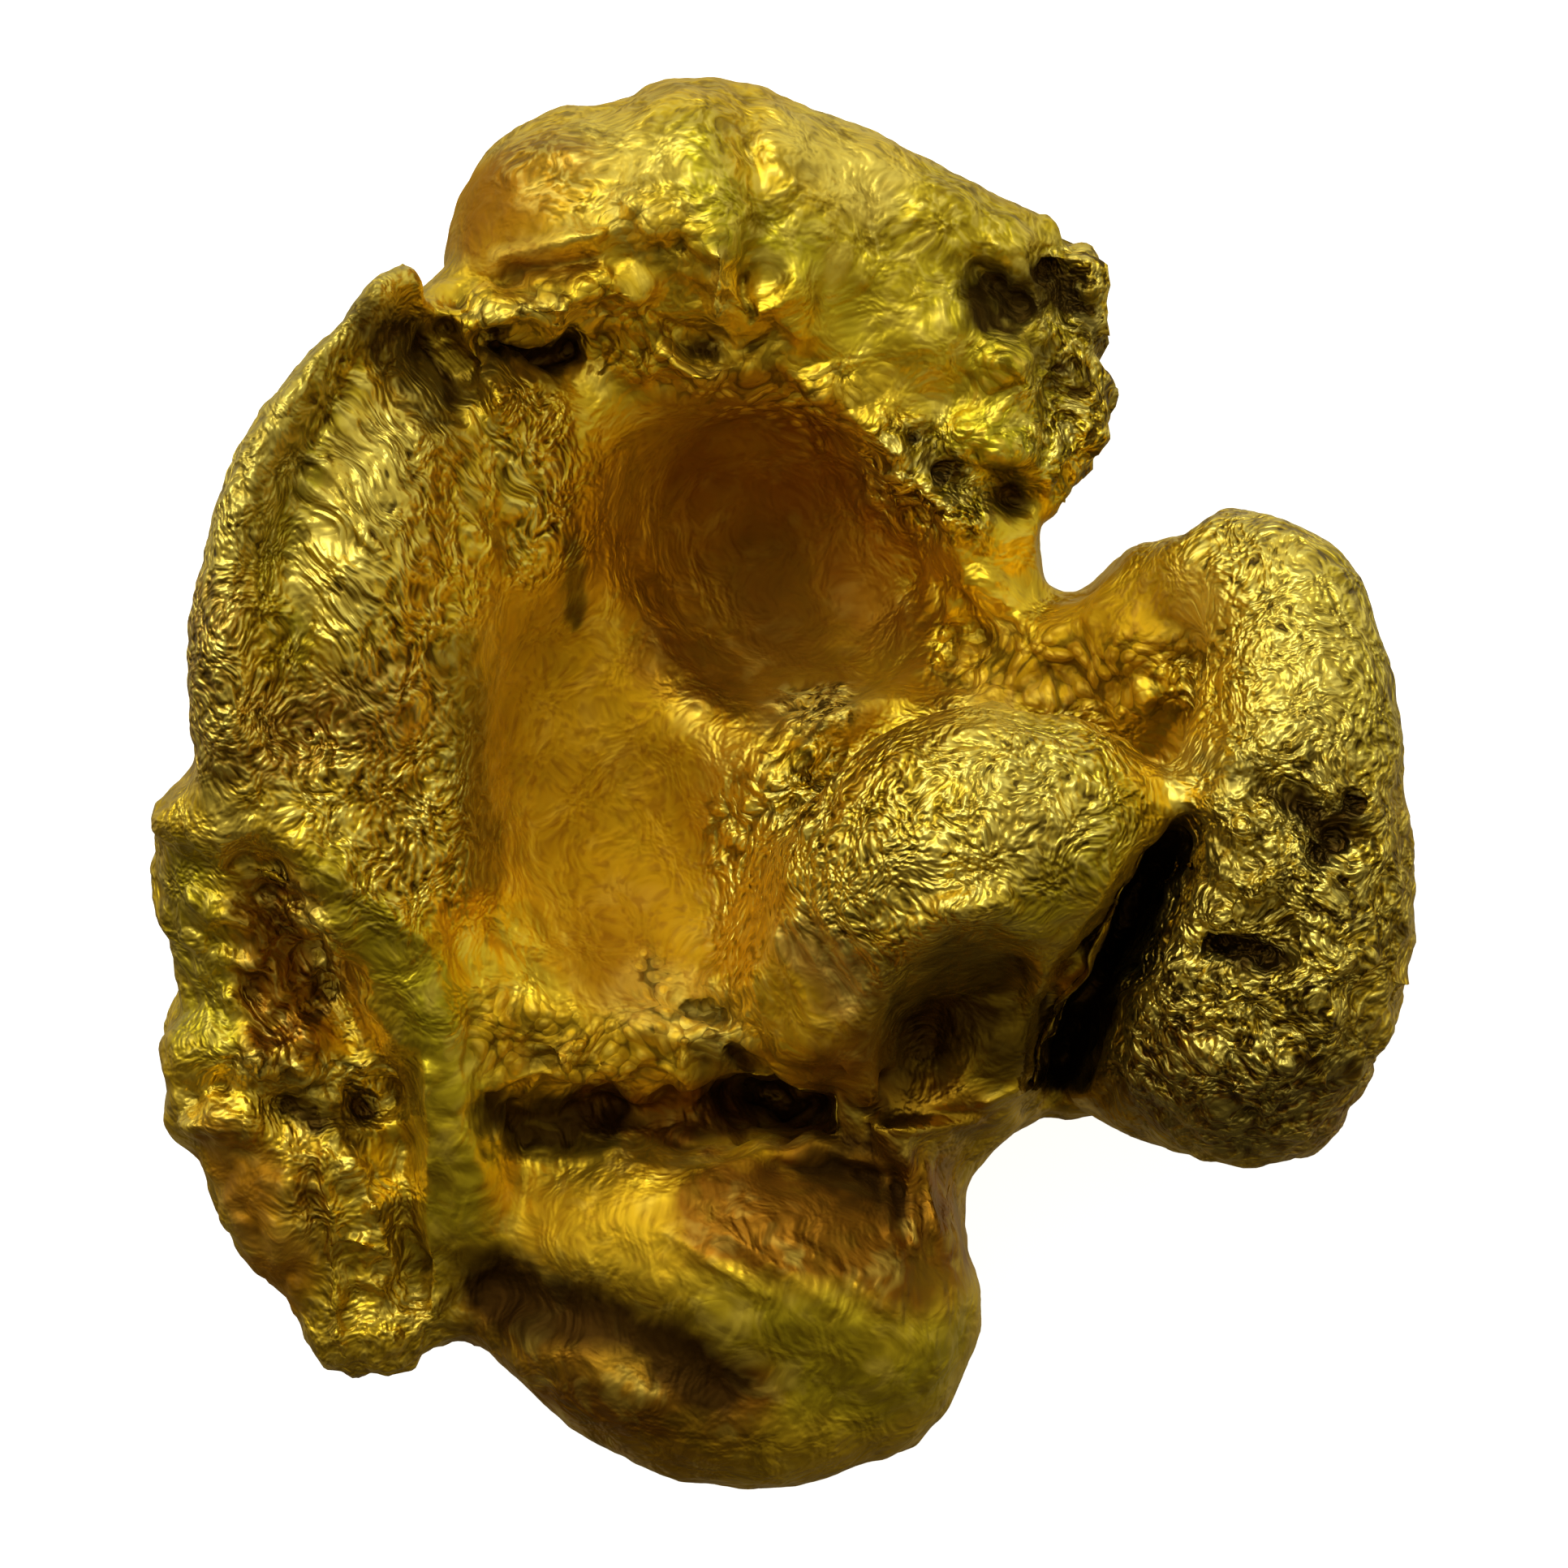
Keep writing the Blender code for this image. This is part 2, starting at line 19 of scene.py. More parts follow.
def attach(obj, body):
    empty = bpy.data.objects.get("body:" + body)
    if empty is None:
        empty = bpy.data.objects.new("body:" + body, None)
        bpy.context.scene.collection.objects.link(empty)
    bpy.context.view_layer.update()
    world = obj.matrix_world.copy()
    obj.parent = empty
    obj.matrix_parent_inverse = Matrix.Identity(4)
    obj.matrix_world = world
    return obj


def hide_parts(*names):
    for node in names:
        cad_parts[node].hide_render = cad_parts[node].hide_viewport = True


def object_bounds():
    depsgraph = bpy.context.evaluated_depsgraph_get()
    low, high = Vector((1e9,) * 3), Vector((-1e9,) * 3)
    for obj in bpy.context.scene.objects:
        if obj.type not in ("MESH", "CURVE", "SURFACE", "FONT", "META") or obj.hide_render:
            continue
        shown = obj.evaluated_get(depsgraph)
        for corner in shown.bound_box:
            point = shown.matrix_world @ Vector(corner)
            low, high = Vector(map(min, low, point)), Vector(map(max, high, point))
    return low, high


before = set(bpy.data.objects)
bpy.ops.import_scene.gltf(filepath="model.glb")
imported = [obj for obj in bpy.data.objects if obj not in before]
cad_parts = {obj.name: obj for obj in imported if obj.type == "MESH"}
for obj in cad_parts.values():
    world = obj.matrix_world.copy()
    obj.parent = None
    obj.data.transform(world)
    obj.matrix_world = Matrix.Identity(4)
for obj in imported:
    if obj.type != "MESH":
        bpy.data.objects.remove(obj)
solid_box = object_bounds()
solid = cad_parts["nugget"]
MM = 0.001
SEED = 1
noise.seed_set(SEED)  # without a seed, noise_vector gives other numbers on each run
print("solid:", [[round(c / MM, 2) for c in corner] for corner in solid_box], "mm")

# %% [markdown]
# ## A fine net over the solid
#
# The solid has about 9,500 flat facets, and the skin of real gold has none. A subdivision surface would round
# them, but it would keep their uneven sizes, and a sculpted mark would come out sharp in one place and blunt
# in the next. A voxel remesh lays a net of even cells over the same shape instead. A few rounds of smoothing
# then melt the facets away.
#
# The work is done at 1 unit = 1 mm, because most of Blender's merge distances and noise sizes suit that.


# %% Reading and setting a skin
def settle(target):
    """Puts the result of the object's modifiers into its mesh."""
    graph = bpy.context.evaluated_depsgraph_get()
    mesh = bpy.data.meshes.new_from_object(target.evaluated_get(graph))
    target.modifiers.clear()
    target.data = mesh


def skin_of(target):
    """The object's points and the way each one faces, as two arrays."""
    mesh = target.data
    points = np.empty(len(mesh.vertices) * 3, np.float32)
    mesh.vertices.foreach_get("co", points)
    facing = np.empty(len(mesh.vertices) * 3, np.float32)
    mesh.vertices.foreach_get("normal", facing)
    return points.reshape(-1, 3), facing.reshape(-1, 3)


def set_skin(target, points):
    """Puts the object's points where the array says."""
    target.data.vertices.foreach_set("co", points.astype(np.float32).ravel())
    target.data.update()


print("points of the solid:", len(skin_of(solid)[0]))

# %% Lay the net
NET = 0.066  # the side of a cell
MELT_PASSES = 6  # rounds of smoothing that melt the facets


def net_over(node, cell, passes):
    """A new object: a net of even cells over the node's shape, at 1 unit = 1 mm."""
    mesh = node.data.copy()
    mesh.transform(Matrix.Scale(1 / MM, 4))
    skin = bpy.data.objects.new("gold skin", mesh)
    bpy.context.scene.collection.objects.link(skin)
    net = skin.modifiers.new("net", "REMESH")
    net.mode = "VOXEL"
    net.voxel_size = cell
    melt = skin.modifiers.new("melt", "SMOOTH")
    melt.factor = 0.5
    melt.iterations = passes
    settle(skin)
    return skin


nugget = net_over(solid, NET, MELT_PASSES)
print("net:", len(nugget.data.polygons), "cells")

# %% Thin the net underneath
KEPT = 0.64  # the share of all cells that stays
UNDER_FADE = 3.0  # how fast the thinning sets in as the skin turns down


def thin_under(target, kept):
    """Thins the net where the skin faces down, which leaves its cells for the side that is looked at."""
    facing = skin_of(target)[1]
    under = target.vertex_groups.new(name="under")
    weights = np.clip(0.5 - facing[:, 2] * UNDER_FADE, 0, 1)
    for number in np.flatnonzero(weights > 0):
        under.add([int(number)], float(weights[number]), "REPLACE")
    thin = target.modifiers.new("thin", "DECIMATE")
    thin.ratio = kept
    thin.vertex_group = "under"
    settle(target)


thin_under(nugget, KEPT)
print("thinned net:", len(nugget.data.polygons), "cells")

# %% [markdown]
# ## Finding a place on the skin
#
# Every mark and every stain on the nugget belongs to a place, such as the rim of the petal or the floor of
# the bowl. A place could be picked by hand in Edit Mode, but the net has too many points for that, and the
# picks would be lost whenever the net changes. Here a place is a path drawn over the plan, which is the
# nugget as seen from straight above, in millimetres. What counts is how far each point of the skin is from
# that path.

# %% Places
PLAN = np.array((0.064, 0.016))  # from the middle of the plan to the middle of the nugget's box


def off_path(places, path):
    """How far each (right, up) place is from a path of straight pieces."""
    nearest = np.full(len(places), np.inf)
    for start, end in zip(np.array(path[:-1]), np.array(path[1:])):
        along = end - start
        share = np.clip((places - start) @ along / max(along @ along, 1e-9), 0, 1)
        gap = np.linalg.norm(places - start - share[:, None] * along, axis=1)
        nearest = np.minimum(nearest, gap)
    return nearest


def share_in(points, strokes):
    """How much each point belongs to the strokes: 1 on a path, or its strength, and 0 well away from it."""
    share = np.zeros(len(points))
    for path, reach, *strength in strokes:
        near = np.exp(-((off_path(points[:, :2] - PLAN, path) / reach) ** 4))
        share = np.maximum(share, near * (strength[0] if strength else 1))
    return share


across = (solid_box[1] - solid_box[0]) / MM
print("plan:", round(across.x, 2), "by", round(across.y, 2), "mm")

# %% [markdown]
# ## Brushes that raise and press
#
# A sculpting brush moves the skin by a bell curve of its distance from the stroke. The first brush here does
# the same with numbers, so a ridge or a crease can be changed and run again. The second presses a whole
# outline down and leaves a wall round it, which is how a dish or a dent looks. Both reach only skin that
# faces up, so that a stroke over the thumb leaves the floor of the gap beside it alone.

# %% Brushes that raise and press
STROKE_FADE = 2.5  # a stroke is full on skin that faces up, and fades out where the skin is steep
DENT_FADE = 0.5  # a dent reaches this much further down a steep wall than a stroke does


def stroke(target, strokes):
    """Raises a ridge along each path, or presses a crease where its rise is below nothing."""
    points, facing = skin_of(target)
    upper = np.clip(facing[:, 2] * STROKE_FADE, 0, 1)
    plan = points[:, :2] - PLAN
    for path, width, rise in strokes:
        gap = off_path(plan, path)
        points[:, 2] += rise * upper * np.exp(-((gap / width) ** 2))
    set_skin(target, points)


def inside(places, outline):
    """True for each (right, up) place within the outline."""
    odd = np.zeros(len(places), bool)
    for start, end in zip(outline, outline[1:] + outline[:1]):
        level = (start[1] > places[:, 1]) != (end[1] > places[:, 1])
        rise = (places[:, 1] - start[1]) / ((end[1] - start[1]) or 1e-9)
        odd ^= level & (places[:, 0] < start[0] + rise * (end[0] - start[0]))
    return odd


def press(target, dents):
    """Sinks the skin within each outline, with a wall as wide as the dent's edge."""
    points, facing = skin_of(target)
    upper = np.clip(facing[:, 2] * STROKE_FADE + DENT_FADE, 0, 1)
    plan = points[:, :2] - PLAN
    for outline, edge, drop in dents:
        gap = off_path(plan, outline + outline[:1])
        depth = np.where(inside(plan, outline), gap, -gap) / edge
        points[:, 2] -= drop * upper * np.clip(0.5 + depth, 0, 1)
    set_skin(target, points)


# %% [markdown]
# ## Brushes that tear and melt
#
# The broken lip and the sides of the crevice are ragged, while the hollow is as smooth as candle wax. Tearing
# shifts the skin sideways by a noise, which frays an even edge. Melting runs a Smooth modifier through a
# vertex group, so that it works only near its strokes. A Displace and a Laplacian Smooth modifier would also
# do, but these two keep the strength at each point in plain sight.

# %% Brushes that tear and melt
LEAST_SHARE = 0.02  # below this a brush leaves a point alone


def ruffle(target, strokes, size, reach):
    """Shifts the skin sideways at random near the strokes, which tears a smooth edge into a ragged one."""
    points, facing = skin_of(target)
    share = share_in(points, strokes)
    busy = share > LEAST_SHARE
    drift = np.array([noise.noise_vector(Vector(p)) for p in points[busy] / size])
    drift[:, 2] *= 0.4
    points[busy] += reach * share[busy, None] * drift
    set_skin(target, points)


def melt(target, strokes, passes):
    """Smooths the skin near the strokes and leaves the rest of it crisp."""
    share = share_in(skin_of(target)[0], strokes)
    soft = target.vertex_groups.new(name="soft")
    for number in np.flatnonzero(share > LEAST_SHARE):
        soft.add([int(number)], float(share[number]), "REPLACE")
    smooth = target.modifiers.new("smooth", "SMOOTH")
    smooth.iterations = passes
    smooth.vertex_group = "soft"
    settle(target)


# %% [markdown]
# ## Knobs and pits
#
# Small beads of gold stand in rows on the crag at the left, on the broken lip and beside the crevice, and
# there are pits where grains of a softer stone fell out. They are too small for the solid. Spheres could be
# joined on, but a bead that grew from the skin has no seam. So each one is a stroke that goes nowhere: a
# place, a width, and a rise or a drop.

# %% Knobs
KNOBS = (
    ((-4.83, -1.07), 0.13, 0.16), ((-4.58, -1.42), 0.13, 0.15), ((-4.63, -1.87), 0.13, 0.15),
    ((-5.00, -2.13), 0.12, 0.15), ((-5.14, -2.73), 0.14, 0.18), ((-4.74, -2.84), 0.13, 0.18),
    ((-4.12, -2.90), 0.13, 0.16), ((-4.00, -3.07), 0.11, 0.14), ((-6.00, -3.13), 0.11, 0.12),
    ((-5.86, -3.36), 0.11, 0.12), ((-5.49, -4.10), 0.12, 0.14), ((-5.40, -4.33), 0.10, 0.12),
    ((-4.26, -3.76), 0.14, 0.16), ((-3.98, -4.16), 0.13, 0.15), ((-3.72, -5.24), 0.12, 0.14),
    ((-2.75, -2.30), 0.10, 0.12), ((-2.50, -2.48), 0.09, 0.12), ((-2.25, -2.75), 0.10, 0.14),
    ((-2.00, -2.60), 0.09, 0.12), ((-1.75, -2.85), 0.10, 0.14), ((-1.35, -2.00), 0.09, 0.14),
    ((-1.30, -2.38), 0.09, 0.12), ((-1.00, -2.52), 0.09, 0.14), ((-0.72, -2.42), 0.08, 0.14),
    ((-0.75, -1.92), 0.08, 0.10), ((0.10, 0.75), 0.08, 0.12), ((0.42, 0.82), 0.09, 0.12),
    ((-0.10, 0.10), 0.08, 0.08), ((-0.50, -0.50), 0.08, 0.08), ((-1.54, 5.62), 0.13, 0.12),
    ((-1.34, 5.32), 0.11, 0.10), ((-0.86, 3.95), 0.13, 0.16), ((2.25, 4.08), 0.20, 0.14),
    ((2.10, 3.22), 0.20, 0.14), ((4.08, -0.15), 0.13, 0.18), ((4.38, -0.42), 0.12, 0.18),
    ((4.12, -0.80), 0.13, 0.18), ((4.55, -0.95), 0.12, 0.16), ((1.52, -1.18), 0.17, 0.10),
)
stroke(nugget, [((place, place), width, rise) for place, width, rise in KNOBS])
print("knobs:", len(KNOBS))

# %% Pits
PITS = (
    ((5.00, -0.25), 0.12, 0.24), ((5.30, -0.50), 0.12, 0.24), ((5.10, -0.68), 0.10, 0.20),
    ((5.46, -0.18), 0.10, 0.20), ((-1.22, 5.20), 0.07, 0.16), ((-1.03, 5.22), 0.06, 0.14),
    ((2.22, 2.84), 0.14, 0.20), ((1.28, 3.38), 0.07, 0.14), ((1.52, 3.08), 0.07, 0.14),
    ((-5.55, -2.95), 0.12, 0.16), ((-3.75, -3.55), 0.12, 0.14),
)
stroke(nugget, [((place, place), width, -drop) for place, width, drop in PITS])
print("pits:", len(PITS))

# %% [markdown]
# ## Ridges and creases
#
# The petal's rim is a rolled edge, the crown has two thin ledges, and curls of metal lie over the groove. A
# curve with a bevel would lie on the skin like a wire. A stroke raises the skin itself, so each ridge runs
# out into its neighbours. A stroke with a negative rise is a crease or a slot.

# %% Ridges and creases
LINES = (
    (((-3.95, 5.0), (-4.75, 4.1), (-5.3, 3.1), (-5.55, 2.2)), 0.30, 0.14),
    (((-4.1, 4.05), (-4.6, 3.1), (-4.85, 1.9)), 0.16, -0.10),
    (((-3.15, 4.5), (-2.9, 4.0), (-2.55, 3.3), (-2.5, 2.9)), 0.07, 0.14),
    (((-2.07, 2.4), (-2.05, 1.6)), 0.08, -0.26),
    (((-2.2, 1.6), (-2.7, 1.2), (-2.8, -0.5)), 0.09, -0.14),
    (((-2.6, 2.0), (-3.0, 1.2), (-3.05, -0.4)), 0.09, 0.10),
    (((-2.9, 2.6), (-2.5, 2.2)), 0.06, -0.10),
    (((-2.9, 2.1), (-2.45, 1.7)), 0.06, -0.10),
    (((-2.75, 3.2), (-2.3, 2.7)), 0.06, -0.10),
    (((-4.7, 3.4), (-4.1, 2.7)), 0.07, 0.06),
    (((-4.6, 2.9), (-3.8, 2.2)), 0.07, 0.06),
    (((-4.5, 2.3), (-3.7, 1.6)), 0.07, 0.06),
    (((-4.7, -0.6), (-3.5, -1.5)), 0.12, 0.09),
    (((-2.77, 5.12), (-1.81, 5.33)), 0.07, 0.15),
    (((-2.8, 4.93), (-1.9, 5.10)), 0.09, -0.12),
    (((-2.87, 4.53), (-1.97, 4.58)), 0.10, 0.13),
    (((-2.8, 4.22), (-2.05, 4.20)), 0.11, -0.20),
    (((-0.4, 6.9), (-0.35, 6.2), (-0.2, 5.5)), 0.15, -0.10),
    (((-0.62, 5.1), (-0.62, 4.5)), 0.07, 0.20),
    (((-0.36, 4.95), (-0.36, 4.6)), 0.08, -0.26),
    (((1.93, 5.1), (2.35, 4.75)), 0.13, -0.26),
    (((2.6, 5.1), (3.1, 4.65)), 0.11, -0.20),
    (((-1.9, 1.0), (-0.9, 0.75), (-0.3, 0.65)), 0.06, -0.05),
    (((-0.95, -2.2), (-0.6, -2.25)), 0.06, -0.20),
    (((-1.2, -4.35), (-0.2, -5.0)), 0.07, 0.06),
    (((-0.6, -4.35), (0.5, -5.1)), 0.07, 0.06),
    (((0.1, -4.45), (1.1, -5.2)), 0.07, 0.06),
    (((0.1, -1.3), (0.5, -2.1)), 0.06, 0.09),
    (((0.32, -1.2), (0.75, -2.0)), 0.06, 0.09),
    (((-0.12, -1.5), (0.3, -2.35)), 0.06, 0.09),
    (((0.55, -1.25), (0.95, -1.9)), 0.06, 0.08),
    (((0.72, -2.25), (1.05, -1.6), (1.55, -1.22), (2.1, -1.15)), 0.20, 0.20),
    (((2.0, -3.15), (2.3, -3.0), (2.42, -3.2), (2.1, -3.32)), 0.06, 0.12),
    (((1.1, -3.35), (1.6, -3.45)), 0.06, 0.09),
    (((-0.15, -3.8), (0.95, -3.85)), 0.10, -0.10),
    (((0.97, -3.7), (1.05, -4.4)), 0.06, 0.12),
    (((1.2, -3.65), (1.3, -4.5)), 0.06, 0.12),
    (((1.42, -3.8), (1.5, -4.4)), 0.06, 0.10),
    (((4.15, -1.58), (4.65, -1.63)), 0.10, -0.26),
    (((-5.3, -0.75), (-4.9, -0.85)), 0.10, -0.22),
    (((-5.0, -3.15), (-4.6, -3.30), (-4.2, -3.25)), 0.12, -0.16),
    (((-4.5, -3.66), (-4.45, -4.7), (-4.4, -5.7)), 0.08, 0.17),
    (((-3.5, -2.8), (-3.55, -4.0), (-3.5, -5.3)), 0.10, 0.14),
    (((-4.3, -4.5), (-3.8, -4.7)), 0.07, 0.09),
    (((-4.3, -4.9), (-3.8, -5.1)), 0.07, 0.09),
    (((-5.4, -1.3), (-4.95, -1.5)), 0.07, 0.10),
    (((-5.45, -1.7), (-5.0, -1.9)), 0.07, 0.10),
    (((-5.45, -2.1), (-5.1, -2.3)), 0.07, 0.10),
    (((-2.95, -5.0), (-1.9, -5.3), (-0.7, -5.95)), 0.28, -0.14),
    (((-2.7, -4.55), (-1.4, -4.85), (-0.4, -5.4)), 0.22, 0.07),
)
stroke(nugget, LINES)
print("ridges and creases:", len(LINES))

# %% [markdown]
# ## Dents
#
# Five places were pushed in as a whole: the hollow behind the petal's tip, the dish in the thumb, two pockets
# under the broken lip, and the crevice before the right lobe. A Boolean cut would leave a knife edge round
# each. A dent is given by its outline, the width of its wall and its drop.

# %% Dents
DENTS = (
    ([(-4.1, 4.4), (-3.6, 4.5), (-3.25, 4.0), (-3.1, 3.5), (-3.4, 3.4), (-3.9, 3.9)], 0.14, 0.16),
    ([(0.8, -3.3), (0.93, -2.35), (1.2, -1.75), (1.63, -1.41), (2.0, -1.38), (2.36, -1.7), (2.45, -2.1),
      (2.45, -3.3)], 0.12, 0.26),
    ([(-0.5, -2.65), (0.2, -2.75), (0.75, -3.1), (1.0, -3.7), (0.6, -3.6), (-0.4, -3.3)], 0.14, 0.22),
    ([(-2.95, -3.05), (-2.4, -2.95), (-1.7, -3.05), (-1.5, -3.25), (-1.75, -3.6), (-2.6, -3.65),
      (-2.95, -3.4)], 0.14, 0.22),
    ([(3.5, -0.65), (3.95, -0.8), (3.65, -1.3), (3.35, -1.9), (3.1, -2.4), (2.95, -2.9), (2.4, -2.95),
      (2.5, -2.1), (2.75, -1.65), (3.1, -1.2)], 0.16, 0.80),
)
press(nugget, DENTS)
print("dents:", len(DENTS))

# %% [markdown]
# ## Melted and ragged skin
#
# Two more things are done to the worked skin. The inside of the hollow never met another stone, so it is
# melted smooth. The broken edges are torn. Both use the brushes above, with a few paths each.

# %% Melt the hollow
MELTED = (
    (((-1.8, 3.2), (-1.6, 2.0), (-1.2, 1.1), (-0.4, 0.7)), 0.75),
    (((-2.3, 1.2), (-2.3, -0.2), (-1.6, -1.3), (-0.9, -0.4)), 0.75),
)
SMOOTHING = 400  # rounds, enough to take out all but the hollow's own bend
melt(nugget, MELTED, SMOOTHING)
print("melted paths:", len(MELTED))

# %% Tear the edges
RAGGED = (
    (((-2.9, -3.1), (-1.4, -3.1), (0.7, -3.2)), 0.55),
    (((3.8, -0.8), (3.1, -1.8), (2.8, -2.9)), 0.60, 0.5),
    (((-2.9, 4.4), (-0.2, 4.4)), 0.55),
    (((2.6, 5.1), (3.1, 4.2), (2.8, 3.2)), 0.60),
    (((-5.8, -0.4), (-5.4, -2.2), (-5.2, -4.2), (-4.2, -5.2)), 0.90, 0.35),
    (((4.4, -1.4), (4.8, -2.8), (5.5, -2.0)), 0.80),
    (((1.0, 3.2), (1.4, 2.4), (1.9, 1.3)), 0.35),
)
TEAR_SIZE = 0.32  # from one tear to the next
TEAR_REACH = 0.16  # how far a tear shifts the skin
ruffle(nugget, RAGGED, TEAR_SIZE, TEAR_REACH)
print("ragged paths:", len(RAGGED))

# %% [markdown]
# ## Layers painted over the plan
#
# The lobes were bent, worn and stained differently. A layer is a set of strokes too, and a point's share in
# it runs from 1 on a path to 0 well away from it. The layers are kept on the mesh as named attributes, where
# the shader can read them. Painting them by hand in Weight Paint would do the same, but could not be read or
# run again.
#
# The first layers say how the skin was broken: the toothed crag, torn and crumbly edges, and the lobes that
# something combed with fine scratches.

# %% Layers of broken skin
BROKEN = {
    "crag": (
        (((-5.6, -0.8), (-5.2, -1.8), (-4.9, -3.0), (-4.6, -4.2), (-4.1, -5.3)), 0.95),
    ),
    "torn": (
        (((4.9, -0.3), (5.2, -0.9), (4.8, -1.8), (4.5, -2.8)), 0.95),
        (((3.9, -1.9), (3.75, -2.8)), 0.50),
        (((0.1, 0.78), (0.55, 0.8)), 0.20),
        (((0.4, 0.3), (0.1, -0.3)), 0.28),
        (((3.0, 5.0), (2.9, 3.4)), 0.55),
        (((1.2, 3.2), (1.6, 2.8)), 0.45),
    ),
    "crumbly": (
        (((-3.0, 4.5), (-1.9, 4.6), (-1.2, 4.2), (-0.3, 4.0), (0.4, 3.8)), 0.40),
        (((-2.8, -2.4), (-1.9, -2.7), (-1.3, -2.6), (-0.6, -2.4)), 0.36),
        (((-1.3, -1.9), (-1.2, -2.3)), 0.22),
        (((-5.3, -2.7), (-4.7, -2.85), (-4.0, -2.95)), 0.22),
        (((-5.0, -1.0), (-4.5, -1.5), (-4.6, -2.1)), 0.20),
        (((-4.3, -3.7), (-3.9, -4.3), (-3.7, -5.2)), 0.26, 0.7),
        (((2.2, 4.4), (2.0, 3.3)), 0.45, 0.7),
        (((-1.6, 5.6), (-0.6, 5.0)), 0.40, 0.6),
        (((0.2, 0.7), (0.0, 0.1), (-0.5, -0.5)), 0.30),
        (((1.9, 1.3), (3.0, 1.0), (3.9, 1.1)), 0.45),
    ),
    "combed": (
        (((-4.2, 3.4), (-3.9, 2.2), (-3.8, 1.2)), 0.80),
        (((-3.7, 4.3), (-3.2, 3.7), (-2.5, 2.6)), 0.45),
        (((0.0, -1.5), (0.5, -2.3), (0.6, -2.8)), 0.50),
        (((-0.9, -4.6), (0.3, -5.0), (1.3, -5.2)), 0.60),
        (((-5.1, -1.4), (-4.9, -2.4)), 0.50),
    ),
}
print("broken:", {name: len(strokes) for name, strokes in BROKEN.items()})

# %% [markdown]
# ## Wear
#
# The petal, the thumb and the right lobe were hammered by gravel until they were covered in bright flecks.
# The groove and the foot were drawn out in streaks instead, and the crown is rubbed to a haze.

# %% Layers of wear
WORN = {
    "hammered": (
        (((-5.6, -0.8), (-5.2, -1.8), (-4.9, -3.0), (-4.6, -4.2), (-4.1, -5.3)), 0.95, 0.35),
        (((-4.4, 4.3), (-5.3, 2.8), (-5.5, 1.0), (-4.4, 0.2)), 0.90),
        (((-3.7, 3.2), (-3.9, 1.8), (-3.6, 0.4), (-3.6, -0.6)), 0.80),
        (((0.0, -1.3), (1.2, -0.5), (2.5, 0.0)), 1.00),
        (((4.6, 2.0), (5.2, 0.8), (5.2, -0.8), (4.8, -2.6)), 1.10),
        (((-2.6, 3.6), (-2.4, 2.4)), 0.40),
        (((-2.2, 6.2), (-0.6, 6.1), (1.0, 6.0), (2.0, 5.3)), 0.90, 0.45),
        (((0.1, -1.4), (0.8, -2.4)), 0.45, 0.8),
        (((4.0, -1.2), (3.8, -2.0), (3.7, -2.8)), 0.55),
    ),
    "streaked": (
        (((-2.4, -4.6), (-0.8, -5.2), (0.8, -5.4)), 1.10),
        (((-2.9, -3.3), (-0.7, -3.4)), 0.50),
        (((-2.2, 1.0), (-2.0, -0.4), (-1.4, -1.6)), 0.90),
        (((-0.7, 3.1), (-0.2, 1.5)), 0.90),
    ),
    "hazy": (
        (((-2.4, 6.0), (-0.8, 6.2), (1.2, 5.8), (2.2, 5.2)), 1.30),
        (((-3.2, -3.0), (-3.2, -5.2)), 0.35),
    ),
}
print("worn:", {name: len(strokes) for name, strokes in WORN.items()})
